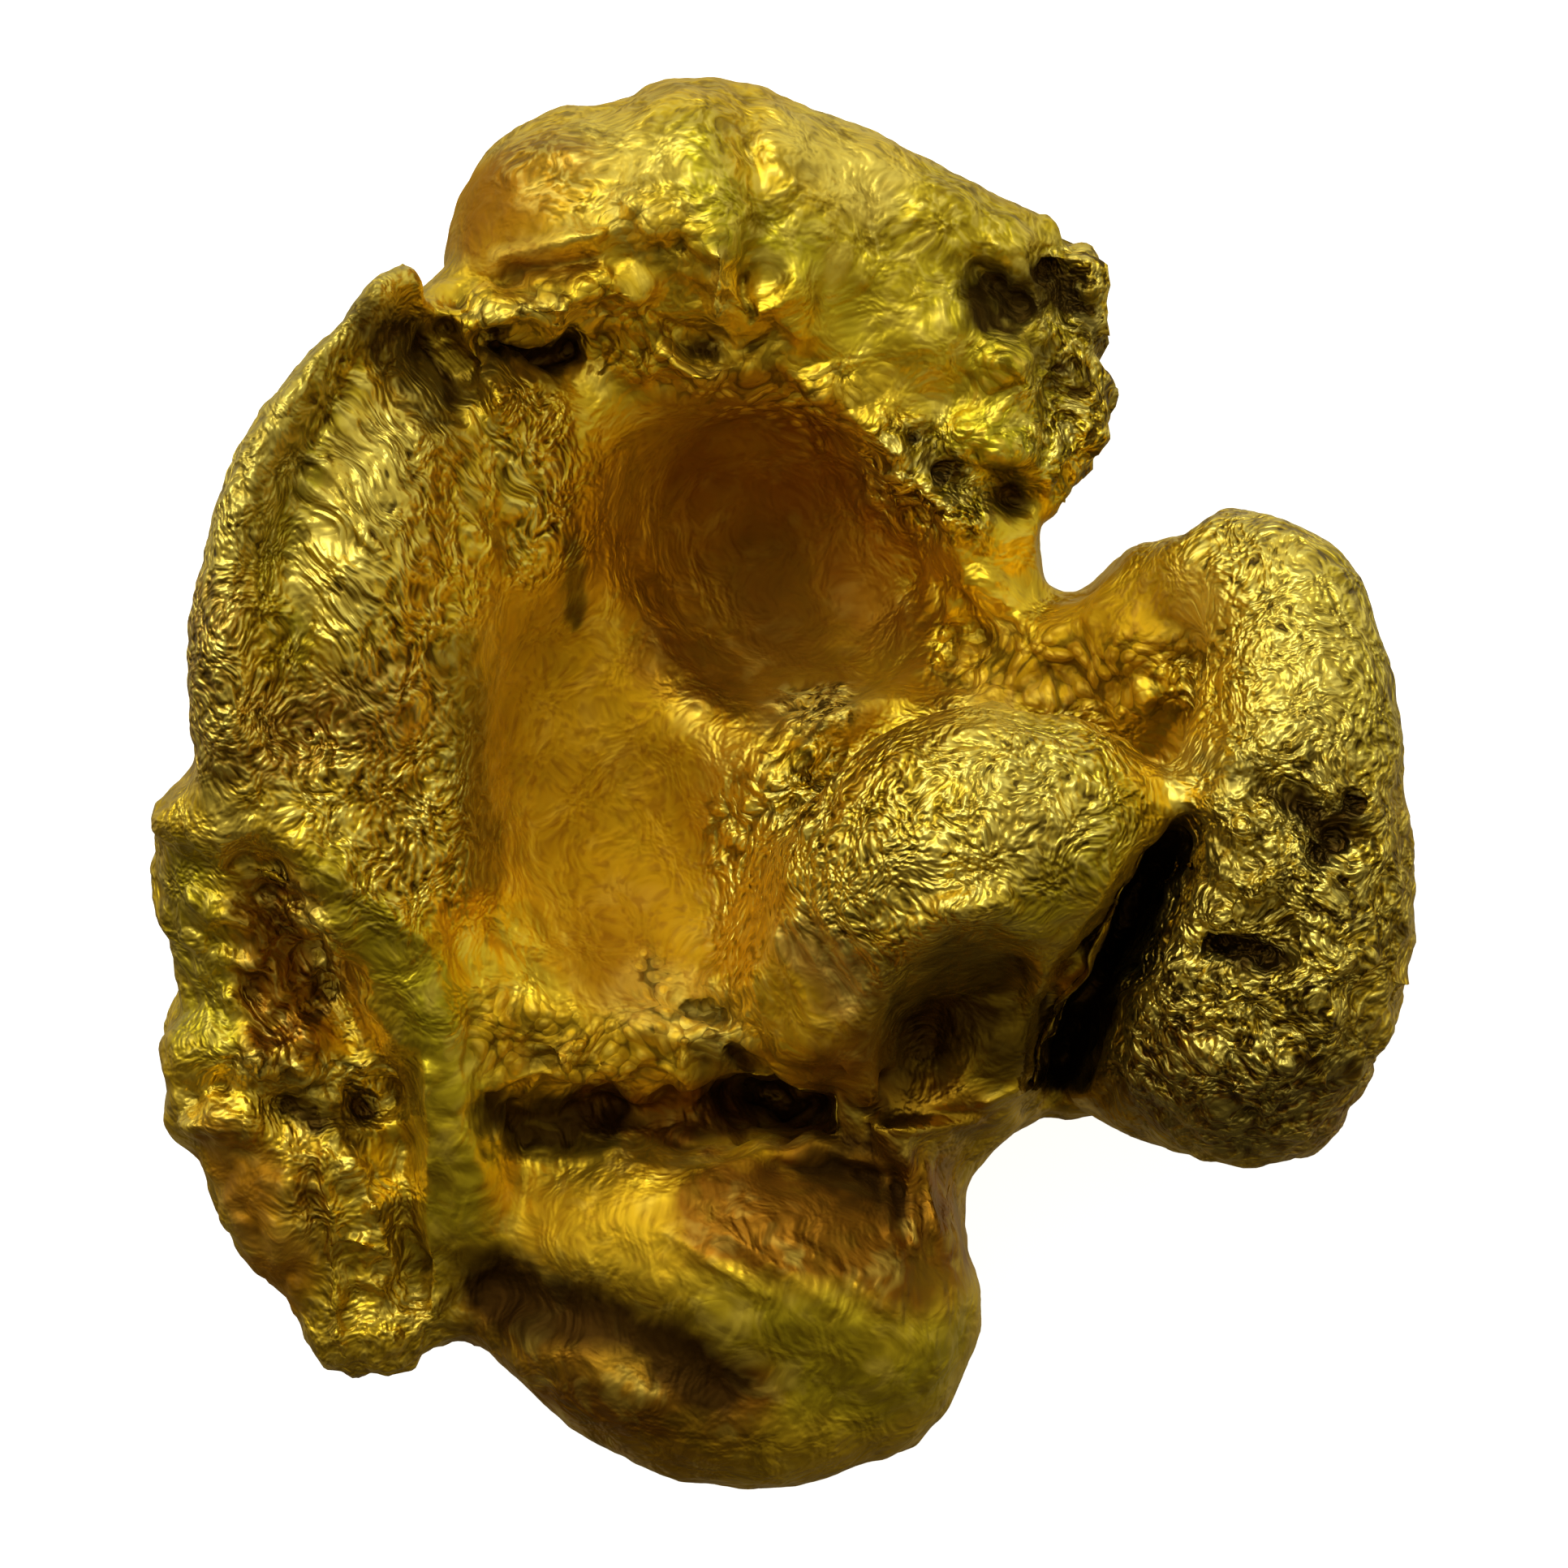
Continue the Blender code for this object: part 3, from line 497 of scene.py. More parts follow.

# %% [markdown]
# ## Tints
#
# Gold is only yellow where it was rubbed. The hollow is amber and brown, partly from iron stain and partly as
# painted light that its gold walls bounce into each other, and the brown also lays painted shade on the foot,
# the groove and beside the crevice. Rose is a painted reflection of warm light, pale is a painted highlight
# on the rims, ledges and lobes, and olive is a painted reflection of the dim room. Each tint is a layer of
# its own, so that two of them can lie over each other, as they do on the crag.

# %% Layers of warm tints
WARM = {
    # Amber is partly iron stain and partly painted light bounced between the gold walls of the hollow.
    "amber": (
        (((-2.2, 1.2), (-2.2, 0.2), (-1.8, -1.0), (-1.3, -1.9)), 0.72),
        (((-0.6, 3.2), (0.0, 2.4), (0.3, 1.5)), 1.00),
        (((-1.6, 1.0), (-1.3, 0.2), (-1.1, -1.2)), 0.50),
        (((-3.0, 5.7), (-2.6, 5.2)), 0.45),
        (((2.2, 1.1), (3.0, 1.2), (3.7, 1.7)), 0.50),
        (((-5.4, -3.8), (-4.9, -4.9)), 0.35),
        (((0.1, -1.8), (0.7, -2.6)), 0.45),
        (((-0.4, -3.7), (0.8, -4.0)), 0.40),
        (((-2.5, -4.2), (-1.2, -4.4)), 0.45, 0.6),
        (((-2.8, -2.4), (-1.9, -2.7), (-0.7, -2.6)), 0.36, 0.8),
    ),
    # Brown is partly iron stain and partly painted: bounced light in the pocket and painted shade on the
    # foot, the groove and beside the crevice.
    "brown": (
        (((-0.5, 3.1), (-0.3, 2.2), (-0.1, 1.5)), 0.85, 0.9),
        (((-3.1, 5.6), (-2.3, 5.9)), 0.55, 0.8),
        (((-2.6, 5.0), (-1.9, 5.1)), 0.14, 0.7),
        (((0.1, 3.3), (0.7, 2.5), (0.9, 1.7)), 0.55),
        (((0.5, -2.9), (1.0, -2.5)), 0.35),
        (((-5.0, -1.3), (-4.9, -2.4)), 0.45),
        (((-5.4, -3.6), (-5.0, -4.9)), 0.40),
        (((-2.9, -5.2), (-1.7, -5.6), (-0.6, -6.1)), 0.62),
        (((-2.4, -5.7), (-1.2, -6.2)), 0.50),
        (((-1.8, -3.2), (-0.6, -3.3)), 0.32, 1.2),
        (((-2.4, -5.9), (-1.0, -6.6)), 0.45, 0.7),
        (((-0.6, -4.2), (0.4, -4.4), (1.3, -4.7)), 0.48, 1.7),
        (((-1.7, -1.5), (-1.6, -2.0)), 0.50, 0.35),
        (((-1.2, 1.3), (-0.6, 1.0), (0.4, 1.1)), 0.35, 0.8),
        (((0.9, -3.0), (1.8, -3.2)), 0.28),
        (((-4.4, 0.5), (-3.9, 0.2), (-3.7, -0.6)), 0.40, 0.8),
        (((-4.8, -3.5), (-4.7, -4.6)), 0.25, 0.7),
        (((3.9, -2.8), (4.4, -2.9), (5.2, -3.1)), 0.55, 1.1),
        (((0.3, -3.6), (1.3, -3.8), (1.5, -4.6)), 0.45),
    ),
    # Painted reflection of warm light on the petal's lower edge, the crag, the thumb and the right lobe's
    # heel.
    "rose": (
        (((-5.6, 1.8), (-5.5, 0.5), (-4.6, 0.5), (-3.8, 0.8)), 0.50),
        (((-4.9, -1.3), (-4.8, -2.4)), 0.38),
        (((0.2, -1.2), (0.6, -1.9)), 0.35),
        (((3.8, -3.0), (5.2, -3.3)), 0.45),
    ),
}
print("warm:", {name: len(strokes) for name, strokes in WARM.items()})

# %% Layers of pale painted highlight and olive painted reflection
COOL = {
    # Painted reflection of the dim room on the petal's valley, the crag, the foot, the flange, the crown, the
    # thumb's right side and the right lobe's rim.
    "olive": (
        (((-4.35, 4.1), (-4.8, 3.2), (-4.95, 2.2), (-4.8, 1.5)), 0.36, 1.4),
        (((-5.8, -0.9), (-5.7, -2.4)), 0.33),
        (((-4.2, -1.0), (-3.45, -1.9), (-3.2, -3.6), (-3.2, -5.2)), 0.44),
        (((-0.6, -5.7), (1.2, -5.6)), 0.75),
        (((1.0, 5.0), (2.2, 4.7), (2.1, 3.3)), 0.85),
        (((-1.0, 6.2), (-0.5, 5.5), (0.3, 5.2)), 0.42, 1.1),
        (((1.4, 5.7), (2.4, 5.3)), 0.50, 0.8),
        (((2.4, 0.4), (3.0, -0.3), (2.4, -1.1)), 0.48),
        (((5.3, 1.9), (5.8, 0.6)), 0.50),
    ),
    # Painted highlight on the petal's rim, the crown's ledges and knobs, the thumb's lit band, the right lobe
    # and the crag's knobs.
    "pale": (
        (((-3.95, 5.0), (-4.85, 3.9), (-5.4, 2.4)), 0.38, 1.4),
        (((-1.9, 6.3), (-1.3, 6.1)), 0.35, 0.9),
        (((0.25, 6.4), (0.85, 5.95)), 0.42, 1.3),
        (((-1.55, 5.75), (-1.45, 5.3)), 0.14, 1.2),
        (((-2.77, 5.12), (-1.85, 5.33)), 0.12),
        (((-2.85, 4.55), (-2.0, 4.60)), 0.14),
        (((-0.6, 5.1), (-0.6, 4.5)), 0.12),
        (((0.5, -0.8), (1.5, -0.9), (2.6, -0.2)), 0.45),
        (((4.6, 2.1), (5.0, 0.8), (4.5, -1.3)), 0.75),
        (((4.1, 0.1), (4.4, -0.5), (4.1, -1.0)), 0.45, 1.8),
        (((2.6, -0.1), (1.8, 0.4)), 0.50),
        (((3.95, -1.3), (3.8, -2.0), (3.7, -2.5)), 0.36, 1.4),
        (((-1.4, -2.1), (-0.6, -2.4)), 0.34),
        (((-5.5, -0.1), (-5.35, -0.6)), 0.20),
        (((0.0, 0.7), (0.6, 0.75)), 0.25),
        (((-3.9, 3.2), (-4.1, 2.5), (-4.3, 1.9)), 0.50, 1.3),
        (((-0.5, 0.2), (-0.2, -0.6), (-0.3, -1.2)), 0.34, 0.9),
        (((-5.2, -2.7), (-4.7, -2.85), (-4.1, -2.95)), 0.20, 1.5),
        (((-5.0, -1.05), (-4.55, -1.4), (-4.45, -1.9)), 0.18, 1.5),
        (((-4.3, -3.7), (-3.95, -4.15)), 0.16),
        (((-3.75, -5.1), (-3.7, -5.3)), 0.16),
        (((-6.0, -3.1), (-5.85, -3.4)), 0.14),
        (((-5.5, -4.1), (-5.4, -4.35)), 0.12),
    ),
}
print("cool:", {name: len(strokes) for name, strokes in COOL.items()})

# %% [markdown]
# ## Painted shade
#
# Every slot and pocket is darkened nearly to black as painted shade: the crevice, the groove under the lip,
# the thumb's dish, the band below the foot's crest and the pits. Small hollows could be found from the net
# alone, and the last layer below finds them. But the large pockets are too wide for that, so they are
# painted.

# %% Layer of painted shade
SHADE_LAYERS = {
    # Painted shade in the crevice, the groove under the lip, the thumb's dish, the band below the foot's
    # crest, the pockets and the pits.
    "dark": (
        (((3.8, -0.7), (3.2, -1.5), (2.75, -2.9)), 0.30),
        (((-0.7, -3.0), (0.5, -3.25)), 0.32, 0.6),
        (((-2.8, -3.25), (-1.8, -3.4)), 0.28, 0.9),
        (((-0.7, -2.85), (0.2, -3.1), (0.9, -3.6)), 0.38, 0.6),
        (((-2.9, -5.05), (-2.0, -5.3), (-1.3, -5.5), (-0.7, -5.95)), 0.42),
        (((-2.8, 4.22), (-2.2, 4.18)), 0.18, 0.7),
        (((-1.0, 4.25), (-0.2, 4.2)), 0.18, 0.4),
        (((-3.95, 4.4), (-3.6, 4.2), (-3.3, 3.7)), 0.34, 0.8),
        (((1.15, -2.8), (1.3, -2.2), (1.7, -1.75), (2.15, -1.9), (2.15, -2.7)), 0.32, 0.75),
        (((1.4, -2.4), (2.1, -2.4)), 0.55, 0.85),
        (((-2.0, -5.7), (-1.0, -6.1)), 0.40, 0.45),
        (((-0.6, -4.15), (0.5, -4.3), (1.2, -4.6)), 0.42, 0.35),
        (((-3.15, 1.3), (-3.1, 0.2), (-2.95, -0.9)), 0.22, 0.55),
        (((-4.35, 4.1), (-4.8, 3.2), (-5.0, 2.3)), 0.24, 0.35),
        (((-2.1, 2.4), (-2.0, 1.6)), 0.10, 0.7),
        (((2.0, 4.75), (2.6, 4.85)), 0.30),
        (((-1.7, -3.2), (-0.6, -3.3)), 0.26, 0.5),
        (((0.7, -3.5), (0.3, -3.85), (1.1, -4.1)), 0.20, 0.8),
        (((4.95, -0.15), (5.2, -0.55), (5.5, -0.35)), 0.20),
        (((2.5, 4.3), (2.9, 3.9)), 0.20, 0.6),
        (((2.2, 3.0), (2.3, 2.75)), 0.20, 0.7),
        (((1.3, 3.4), (1.7, 3.0)), 0.18, 0.6),
        (((2.9, 4.9), (3.1, 4.5)), 0.20, 0.7),
        (((4.1, 0.15), (4.6, 0.1)), 0.10, 0.6),
        (((3.3, -3.0), (4.4, -3.3), (5.3, -2.8)), 0.40, 0.6),
        (((4.2, -1.6), (4.7, -1.65)), 0.14),
        (((-4.9, -3.1), (-4.2, -3.35)), 0.18, 0.7),
        (((-1.0, -5.8), (-0.4, -6.2)), 0.30, 0.5),
        (((-0.2, 2.2), (0.0, 1.6), (0.3, 1.3)), 0.50, 0.25),
    ),
}
LAYERS = BROKEN | WORN | WARM | COOL | SHADE_LAYERS
print("layers:", len(LAYERS))

# %% [markdown]
# ## Relief
#
# Between the marks the skin is crumpled like foil, more where it is broken and hardly at all in the hollow. A
# Displace modifier with a clouds texture does this for a whole object. Here noise moves each point along the
# way it faces, by depths that come from the layers. The folded noise of `turbulence` has sharp creases
# between round swells, as beaten metal has.


# %% Crumple the skin
def folded(points, size, levels):
    """Folded noise at each point, as an array."""
    places = [Vector(p) for p in points / size]
    return np.array([noise.turbulence(place, levels, True, noise_basis="PERLIN_NEW") for place in places])


def crumple(target):
    """Moves the skin in and out by three noises: broad swells, the ribs of the crag, and a fine grain."""
    points, facing = skin_of(target)
    share = {name: share_in(points, strokes) for name, strokes in LAYERS.items()}
    broken = np.maximum(share["torn"], share["crumbly"])
    swells = folded(points, 0.80, 2) - 0.55
    ribs = folded(points * np.array((1.0, 0.45, 0.7)), 0.34, 2) - 0.5
    fine = folded(points + 20, 0.30, 2) - 0.5
    depth = 0.03 + 0.16 * broken + 0.05 * share["crag"] + 0.03 * share["hazy"]
    light = 0.02 + 0.06 * broken + 0.02 * share["hammered"] - 0.02 * share["amber"]
    relief = depth * swells + light * fine + 0.10 * share["crag"] * ribs
    set_skin(target, points + facing * relief[:, None])
    return relief


relief = crumple(nugget)
print("relief:", round(float(relief.min()), 3), "to", round(float(relief.max()), 3), "mm")

# %% [markdown]
# ## Keeping the layers on the mesh
#
# A stain or a painted shade never ends on a clean curve. So each point looks up its share of a layer at a
# place that has wandered a little, which frays the layers' edges. Skin that faces down gets no layer, and
# stays plain gold.
#
# One more layer, `sunk`, is measured and not painted. The skin is compared with a blurred copy of itself:
# where it lies below the copy there is a small hollow, which the shader darkens as painted shade.


# %% Paint the layers
def keep_layer(target, name, values):
    """Puts one value for each point into a named attribute of the mesh."""
    layer = target.data.attributes.new(name, "FLOAT", "POINT")
    layer.data.foreach_set("value", values.astype(np.float32))


def wandered(points):
    """The points, each shifted a little by a broad noise and a close one."""
    broad = np.array([noise.noise_vector(Vector(p)) for p in points / 0.55])
    close = np.array([noise.noise_vector(Vector(p)) for p in points / 0.16])
    return points + 0.16 * broad + 0.10 * close


def paint(target):
    """Keeps each layer on the mesh, full on skin that faces up or sideways."""
    points, facing = skin_of(target)
    upper = np.clip(facing[:, 2] * 2.5 + 1, 0, 1)
    places = wandered(points)
    for name, strokes in LAYERS.items():
        keep_layer(target, name, share_in(places, strokes) * upper)


paint(nugget)
print("painted:", len(nugget.data.attributes), "attributes")

# %% Find the small hollows
BLUR = 12  # rounds of smoothing in the blurred copy
DEEP = 0.05  # a hollow this deep gets the full painted shade


def find_hollows(target):
    """Keeps how far each point lies below a blurred copy of the skin, from -1 to 1."""
    points, facing = skin_of(target)
    blurred = target.copy()
    blurred.data = target.data.copy()
    bpy.context.scene.collection.objects.link(blurred)
    melt = blurred.modifiers.new("melt", "SMOOTH")
    melt.iterations = BLUR
    settle(blurred)
    sunk = ((skin_of(blurred)[0] - points) * facing).sum(axis=1)
    bpy.data.objects.remove(blurred)
    # The shader darkens the skin by this layer, as painted shade in small hollows.
    keep_layer(target, "sunk", np.clip(sunk / DEEP, -1, 1))
    return sunk


sunk = find_hollows(nugget)
print("points in a hollow:", int((sunk > DEEP).sum()))

# %% The finished mesh
nugget.name = "gold_nugget"
nugget.data.transform(Matrix.Scale(MM, 4))
nugget.data.shade_smooth()
print("triangles:", sum(len(p.vertices) - 2 for p in nugget.data.polygons))

# %% [markdown]
# ## Shader maths as Python
#
# The gold's look is worked out from patterns and layers by sums and products. In the Shader Editor each of
# them is a Math node with its wires, and a hundred of those can't be read. The small class below stands for a
# wire, so that `1 - quiet * 0.7` adds its two Math nodes by itself. Every other node comes from one method,
# which takes a node's type, its settings, and the values or links of its sockets.


# %% A wire of a shader
class Wire:
    """The wire from a node's socket. Without a socket it only stands for the tree, to add nodes with."""

    def __init__(self, tree, socket=None):
        self.tree, self.socket = tree, socket

    def node(self, kind, settings, inputs, output=0):
        """Adds a node to the tree, makes its settings, then gives its sockets their values or links."""
        made = self.tree.nodes.new(kind)
        for name, value in settings.items():
            if name == "stops":
                ramp = made.color_ramp
                for place, colour in value[1:-1]:
                    ramp.elements.new(place).color = colour
                ramp.elements[0].position, ramp.elements[0].color = value[0]
                ramp.elements[-1].position, ramp.elements[-1].color = value[-1]
            else:
                setattr(made, name, value)
        for key, value in inputs.items():
            if isinstance(value, Wire):
                self.tree.links.new(value.socket, made.inputs[key])
            else:
                made.inputs[key].default_value = value
        return Wire(self.tree, made.outputs[output])

    def _math(self, operation, first, second=0.5):
        return self.node("ShaderNodeMath", {"operation": operation}, {0: first, 1: second})

    def __add__(self, other):
        return self._math("ADD", self, other)

    __radd__ = __add__

    def __sub__(self, other):
        return self._math("SUBTRACT", self, other)

    def __rsub__(self, other):
        return self._math("SUBTRACT", other, self)

    def __mul__(self, other):
        return self._math("MULTIPLY", self, other)

    __rmul__ = __mul__

    def __abs__(self):
        return self._math("ABSOLUTE", self)

    def at_most(self, other):
        return self._math("MINIMUM", self, other)

    def at_least(self, other):
        return self._math("MAXIMUM", self, other)

    def above(self, start, gain, most):
        """0 up to the start, then rising by the gain to the most."""
        return ((self - start) * gain).at_least(0).at_most(most)

    def below(self, start, gain, most):
        """0 down to the start, then rising by the gain to the most."""
        return ((start - self) * gain).at_least(0).at_most(most)


print("a wire can:", ", ".join(name.strip("_") for name in vars(Wire) if callable(getattr(Wire, name))))

# %% [markdown]
# ## The material of the gold
#
# Bare metal has no colour of its own apart from that of its reflections, so the material is fully metallic
# everywhere, and even the stains, the painted shade and the painted highlights only darken, lighten and warm
# what it mirrors. A single yellow with a bumpy normal would look like cast brass. What makes it native gold
# is that colour, roughness and bump change together from place to place, so all three read the same patterns
# and layers.

# %% The gold's colours
YELLOW = (0.92, 0.63, 0.035, 1)
PALE = (1.0, 0.78, 0.13, 1)
AMBER = (0.70, 0.43, 0.012, 1)
BROWN = (0.42, 0.18, 0.011, 1)
OLIVE = (0.62, 0.52, 0.022, 1)
ROSE = (0.76, 0.48, 0.11, 1)
BRIGHT = (1.0, 0.82, 0.17, 1)  # painted highlight on the tops of flecks and chips
GOLDEN = (1.0, 0.72, 0.07, 1)  # painted highlight on the top of a crumb
EARTH_AND_SHADE = (0.32, 0.20, 0.012, 1)  # painted shade between flecks, and patches of earth
SHADE_COLOUR = (0.055, 0.024, 0.004, 1)  # painted shade, for the pockets, the slots, the small hollows and the gaps between flecks, chips and crumbs
print("clean yellow:", YELLOW[:3], "and dirt:", SHADE_COLOUR[:3])

# %% Start the material
finish = bpy.data.materials.new("native gold")
finish.use_nodes = True
shader = finish.node_tree.nodes["Principled BSDF"]
shader.inputs["Metallic"].default_value = 1.0
gold = Wire(finish.node_tree)


def layer(name):
    """A painted layer's value at each place of the skin."""
    return gold.node("ShaderNodeAttribute", {"attribute_name": name}, {}, "Fac")


def blend(share, first, second):
    """The first colour where the share is 0 and the second where it is 1."""
    return gold.node("ShaderNodeMix", {"data_type": "RGBA"}, {"Factor": share, 6: first, 7: second}, 2)


hammered, streaked, combed = layer("hammered"), layer("streaked"), layer("combed")
quiet, hazy, torn = layer("amber"), layer("hazy"), layer("torn")
crumbs = layer("crumbly").at_least(torn)
print("nodes so far:", len(finish.node_tree.nodes))

# %% [markdown]
# ## Places that the patterns are read at
#
# A noise read at the object's own place has the same grain all over, and the eye sees that at once. So the
# place is first bent by a slow noise, which makes the flecks flow round the lobes. Two more readings stretch
# it: `drawn` makes long fibres along the nugget, and `slant` makes the comb's strokes.

# %% Places
BEND = 0.35  # how far the slow noise shifts a place
DRAW = (1.0, 0.22, 0.5)  # fibres are long where a number is small
COMB_TURN = math.radians(-48)
COMB_STRETCH = (3.0, 1, 1.6)

here = gold.node("ShaderNodeTexCoord", {}, {}, "Object")
place = gold.node("ShaderNodeVectorMath", {"operation": "SCALE"}, {0: here, "Scale": 1 / MM})
sway = gold.node("ShaderNodeTexNoise", {}, {"Vector": place, "Scale": 2.2, "Detail": 0.0}, "Color")
bent = gold.node("ShaderNodeVectorMath", {"operation": "MULTIPLY_ADD"}, {0: sway, 1: (BEND,) * 3, 2: place})
drawn = gold.node("ShaderNodeVectorMath", {"operation": "MULTIPLY"}, {0: bent, 1: DRAW})
slant = gold.node(
    "ShaderNodeMapping",
    {"vector_type": "TEXTURE"},
    {"Vector": bent, "Rotation": (0, 0, COMB_TURN), "Scale": COMB_STRETCH},
)
print("bend:", BEND, "mm, comb turned by", round(math.degrees(COMB_TURN)), "degrees")

# %% [markdown]
# ## Patterns
#
# Each pattern stands for something that was done to the gold. `cells` are the dents of gravel and `combs` are
# the same dents dragged sideways. `beads` are round crumbs, `crease` is foil folded on itself, `fibres` are
# the streaks of drawn metal, `soft` is the slow swell of a worn face, and `chips` are torn flakes. They could
# be image textures, but noise has no seams and stays sharp however near the eye comes.


# %% Patterns
def grain(where, scale, detail, rough):
    """Noise of about the scale's number of grains to 1 mm."""
    inputs = {"Vector": where, "Scale": scale, "Detail": detail, "Roughness": rough}
    return gold.node("ShaderNodeTexNoise", {}, inputs)


cells = grain(bent, 9.5, 1.0, 0.6)
combs = grain(slant, 11.0, 1.0, 0.6)
beads = 1 - gold.node("ShaderNodeTexVoronoi", {}, {"Vector": bent, "Scale": 6.5})
crease = abs(grain(bent, 3.6, 1.0, 0.6) - 0.5)
fibres = grain(drawn, 8.0, 1.0, 0.6)
soft = grain(bent, 3.0, 1.0, 0.6)
chips = grain(bent, 5.6, 2.0, 0.7)
mottle = grain(place, 1.1, 1.0, 0.5)
patch = grain(bent, 2.2, 2.0, 0.65)
net = cells * (1 - combed) + combs * combed
print("nodes so far:", len(finish.node_tree.nodes))

# %% [markdown]
# ## Bump
#
# The net carries every form that throws a shadow. The flecks are a tenth of a millimetre wide, hardly more
# than one of its cells, so they are left to a Bump node. Its height is the sum of the patterns, each held
# back by the layers: the hollow is quiet, the streaked faces have fibres in place of folds, and the torn
# edges are steep.

# %% Bump
STEEPEST = 0.12 * MM  # the height of a pattern at its full value

height = (net * (0.25 + 0.70 * hammered) + crease * (0.35 + 0.10 * hammered)) * (1 - streaked * 0.5)
height = height * (1 - quiet * 0.85) * (1 - hazy * 0.5)
height = height + fibres * streaked * (0.5 - quiet * 0.2) + soft * (0.25 + 0.5 * hazy)
height = height + cells * quiet * 0.20 + chips * torn * 1.3 + beads * crumbs * 0.45
bump = gold.node(
    "ShaderNodeBump", {}, {"Strength": 1.0, "Distance": STEEPEST, "Height": height}, "Normal"
)
finish.node_tree.links.new(bump.socket, shader.inputs["Normal"])
print("bump height:", STEEPEST / MM, "mm")

# %% [markdown]
# ## Tints of the gold
#
# The tints are laid one over another like glazes, the broad ones first: olive, amber, rose, pale, brown. A
# slow mottle makes each of them thicker here and thinner there, and patches of earth and of paler gold go
# over them all. The hollow keeps its even amber.

# %% Tints
# Olive and rose are painted reflections, pale is a painted highlight, and amber and brown are partly stain
# and partly painted bounced light and shade.
tone = blend(layer("olive") * (0.3 + mottle), YELLOW, OLIVE)
tone = blend(quiet * (0.5 + mottle), tone, AMBER)
tone = blend(layer("rose") * (0.3 + mottle), tone, ROSE)
tone = blend((layer("pale") * (0.3 + mottle)).at_most(1), tone, PALE)
tone = blend((layer("brown") * (0.4 + mottle)).at_most(1), tone, BROWN)
plain = 1 - quiet * 0.7
tone = blend(patch.above(0.50, 3.5, 0.6) * plain, tone, EARTH_AND_SHADE)
tone = blend(patch.below(0.46, 3.5, 0.5) * plain, tone, PALE)
print("nodes so far:", len(finish.node_tree.nodes))

# %% [markdown]
# ## Flecks, crumbs and chips
#
# On hammered skin the tops of the dents' rims are rubbed, and the colour lays a painted highlight on them and
# painted shade on the floors. The bump alone doesn't show that from every side, because a metal is only
# bright where it mirrors a lamp. So the colour follows the same patterns as the bump: bright above the middle
# of the net, earthy below it. The tops of crumbs and of torn chips get a painted highlight in the same way.

# %% Flecks, crumbs and chips
beaten = hammered * (1 - quiet * 0.8)
dent_shade = net.below(0.50, 9, 0.8) * beaten
tone = blend(cells.above(0.5, 3, 0.5) * quiet, tone, BROWN)
# Painted shade on the floors of the dents, then a painted highlight on their rims.
tone = blend(dent_shade * (1 - layer("pale").at_most(1) * 0.7), tone, EARTH_AND_SHADE)
tone = blend(net.above(0.50, 9, 0.9) * beaten, tone, BRIGHT)
# Painted highlights on the tops of crumbs and of torn chips.
tone = blend(beads.above(0.60, 7, 0.9) * crumbs, tone, GOLDEN)
tone = blend(chips.above(0.49, 16, 0.95) * torn, tone, BRIGHT)
print("nodes so far:", len(finish.node_tree.nodes))

# %% [markdown]
# ## Painted shade over the gold
#
# Painted shade comes last, over every other colour. It is darkest in the painted pockets and in the small
# hollows that were measured. Thin lines of it run between the flecks, and blots of it lie between chips and
# crumbs, where the relief would hold shade.

# %% Painted shade
# Painted shade in thin lines between the flecks and in blots between chips and crumbs, where the relief would
# hold shade.
shade_lines = net.below(0.42, 14, 0.9) * beaten * (crease * 6).at_least(0.3).at_most(1)
shade_blots = chips.below(0.465, 16, 0.92) * torn
shade_blots = shade_blots.at_least(beads.below(0.40, 5, 0.65) * crumbs)
# Painted shade in the measured small hollows and in the painted slots and pockets.
hollows = (layer("sunk") * 0.7).at_least(0) + layer("dark") * (0.75 + mottle * 0.45)
painted_shade = hollows.at_most(0.96).at_least(shade_lines).at_least(shade_blots)
tone = blend(painted_shade, tone, SHADE_COLOUR)
finish.node_tree.links.new(tone.socket, shader.inputs["Base Color"])
print("nodes so far:", len(finish.node_tree.nodes))

# %% [markdown]
# ## Shine
#
# Rubbed gold has a soft shine and not a mirror's. The hollow is satin, where nothing ever polished it, and
# the painted shade of the slots and pockets is rougher too.

# %% Shine
RUBBED = 0.36  # the roughness of clean gold

shine = RUBBED - 0.02 * hammered + 0.34 * quiet + 0.2 * layer("dark") + 0.10 * hazy + 0.08 * streaked
finish.node_tree.links.new(shine.socket, shader.inputs["Roughness"])
print("roughness:", RUBBED, "to", round(RUBBED + 0.34 + 0.2, 2))

# %% Put the gold on the nugget
nugget.data.materials.clear()
nugget.data.materials.append(finish)
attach(nugget, "root")
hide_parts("nugget")
print("material:", nugget.data.materials[0].name)

# %% [markdown]
# ## Floor
#
# The nugget rests on white paper. It lies flat and has no edge in view. The paper gives off a little light of
# its own, so that it looks white while the lamps stay weak enough for gold. Gold would mirror so bright a
# floor on all its undersides, so the floor is kept out of reflections.

# %% Floor
FLOOR_SIZE = 1.6


def floor():
    """A square sheet of white paper under the nugget, as part of the stage."""
    mesh = bpy.data.meshes.new("floor")
    half = FLOOR_SIZE / 2
    corners = [(-half, -half, 0), (half, -half, 0), (half, half, 0), (-half, half, 0)]
    mesh.from_pydata(corners, [], [(0, 1, 2, 3)])
    paper = bpy.data.materials.new("white paper")
    paper.use_nodes = True
    white = paper.node_tree.nodes["Principled BSDF"]
    white.inputs["Base Color"].default_value = (0.8, 0.8, 0.8, 1)
    white.inputs["Roughness"].default_value = 1.0
    white.inputs["Emission Color"].default_value = (1, 1, 1, 1)
    white.inputs["Emission Strength"].default_value = 0.9
    mesh.materials.append(paper)
    sheet = bpy.data.objects.new("floor", mesh)
    bpy.context.scene.collection.objects.link(sheet)
    sheet.visible_glossy = False


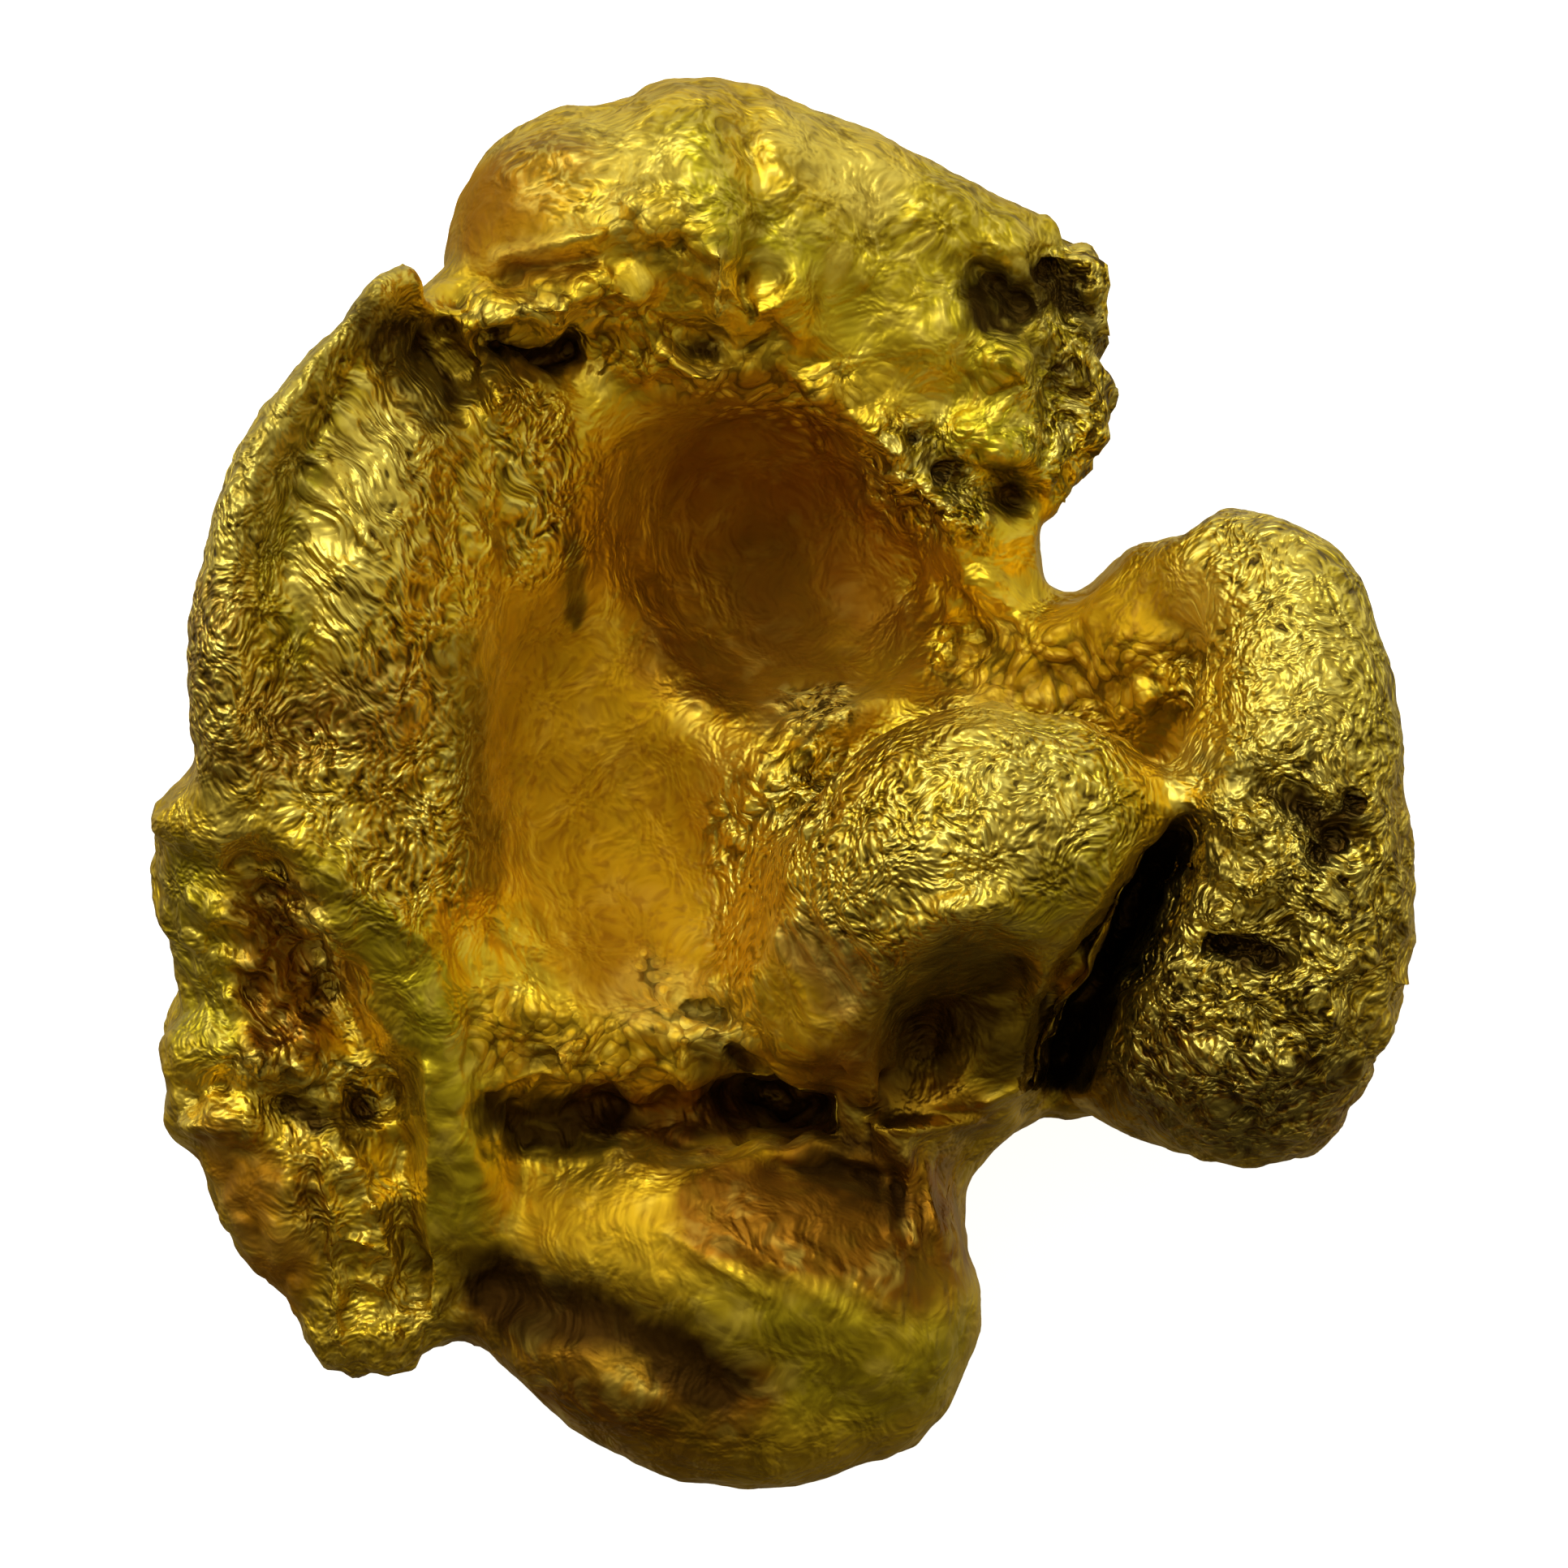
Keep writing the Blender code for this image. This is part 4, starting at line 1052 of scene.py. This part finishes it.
floor()
print("floor:", FLOOR_SIZE, "m square")

# %% [markdown]
# ## Room
#
# A metal shows the room that it is in, and polished gold in a white room is a flat yellow. This room is dim
# and warm, with a lighter wall beyond the crown and uneven patches, so that each lobe mirrors light on one
# side and shade on the other. A studio panorama would do the same, but would have to be loaded.

# %% Room
WALL = (0.05, 0.85, 0.25)  # the way to the lighter wall
SHADES = (
    (0.08, (0.035, 0.025, 0.012, 1)),
    (0.48, (0.22, 0.19, 0.115, 1)),
    (0.80, (0.46, 0.44, 0.35, 1)),
)
ROOM_LIGHT = 1.46


def surroundings():
    """A world of soft shades, lighter towards the wall."""
    world = bpy.data.worlds.new("dim room")
    bpy.context.scene.world = world
    world.use_nodes = True
    back = world.node_tree.nodes["Background"]
    back.inputs["Strength"].default_value = ROOM_LIGHT
    room = Wire(world.node_tree)
    way = room.node("ShaderNodeTexCoord", {}, {}, "Generated")
    toward = room.node("ShaderNodeVectorMath", {"operation": "DOT_PRODUCT"}, {0: way, 1: WALL}, "Value")
    patches = room.node("ShaderNodeTexNoise", {}, {"Vector": way, "Scale": 2.6, "Detail": 1.0})
    depth = toward * 0.5 + 0.5 + (patches - 0.5) * 0.7
    shade = room.node("ShaderNodeValToRGB", {"stops": SHADES}, {"Fac": depth}, "Color")
    world.node_tree.links.new(shade.socket, back.inputs["Color"])


surroundings()
print("shades of the room:", len(SHADES))

# %% [markdown]
# ## Lamps
#
# Three soft lamps stand on the crown's side. A large lamp gives broad highlights that follow the form, where
# a small one would only make sparks. The key lights the lobes, the one at the side lights the petal, and the
# low one grazes the crag.

# %% Lamps
AIM = Vector((0, 0, 3 * MM))  # all lamps look at the middle of the nugget
LAMPS = {
    "key": ((-0.012, 0.075, 0.085), (0.060, 0.050), 0.034),
    "side": ((-0.071, 0.036, 0.077), (0.045, 0.045), 0.016),
    "low": ((-0.090, 0.055, 0.020), (0.050, 0.030), 0.008),
}


def softbox(name, place, size, power):
    """A lamp with a flat rectangular face, in metres and watts."""
    light = bpy.data.lights.new(name, "AREA")
    light.shape = "RECTANGLE"
    light.size, light.size_y = size
    light.energy = power
    lamp = bpy.data.objects.new(name, light)
    lamp.location = place
    lamp.rotation_euler = (AIM - Vector(place)).to_track_quat("-Z", "Y").to_euler()
    bpy.context.scene.collection.objects.link(lamp)


for name, (lamp_place, size, power) in LAMPS.items():
    softbox(name, lamp_place, size, power)
print("lamps:", ", ".join(LAMPS))

# %% [markdown]
# ## Camera
#
# The camera looks straight down from far off, through a long lens, so that the lobes' outlines aren't bent by
# a near view. Its height is worked out from the width that it has to take in at the level it looks at. The
# Standard view keeps the gold's yellow, where a filmic one would fade it.

# %% Camera
LENS = 200
SENSOR = 36
FIELD = 15.456 * MM  # the width that the camera takes in
FOCUS = 3.5 * MM  # the level at which it takes that width in


def camera():
    """A long lens that looks straight down on the nugget."""
    view = bpy.data.cameras.new("camera")
    view.lens = LENS
    view.sensor_width = SENSOR
    view.clip_start, view.clip_end = 1 * MM, 10
    eye = bpy.data.objects.new("camera", view)
    eye.location = (PLAN[0] * MM, PLAN[1] * MM, FIELD * LENS / SENSOR + FOCUS)
    bpy.context.scene.collection.objects.link(eye)
    bpy.context.scene.camera = eye


camera()
bpy.context.scene.view_settings.view_transform = "Standard"
print("camera height:", round(bpy.context.scene.camera.location.z / MM, 1), "mm")

# %% [markdown]
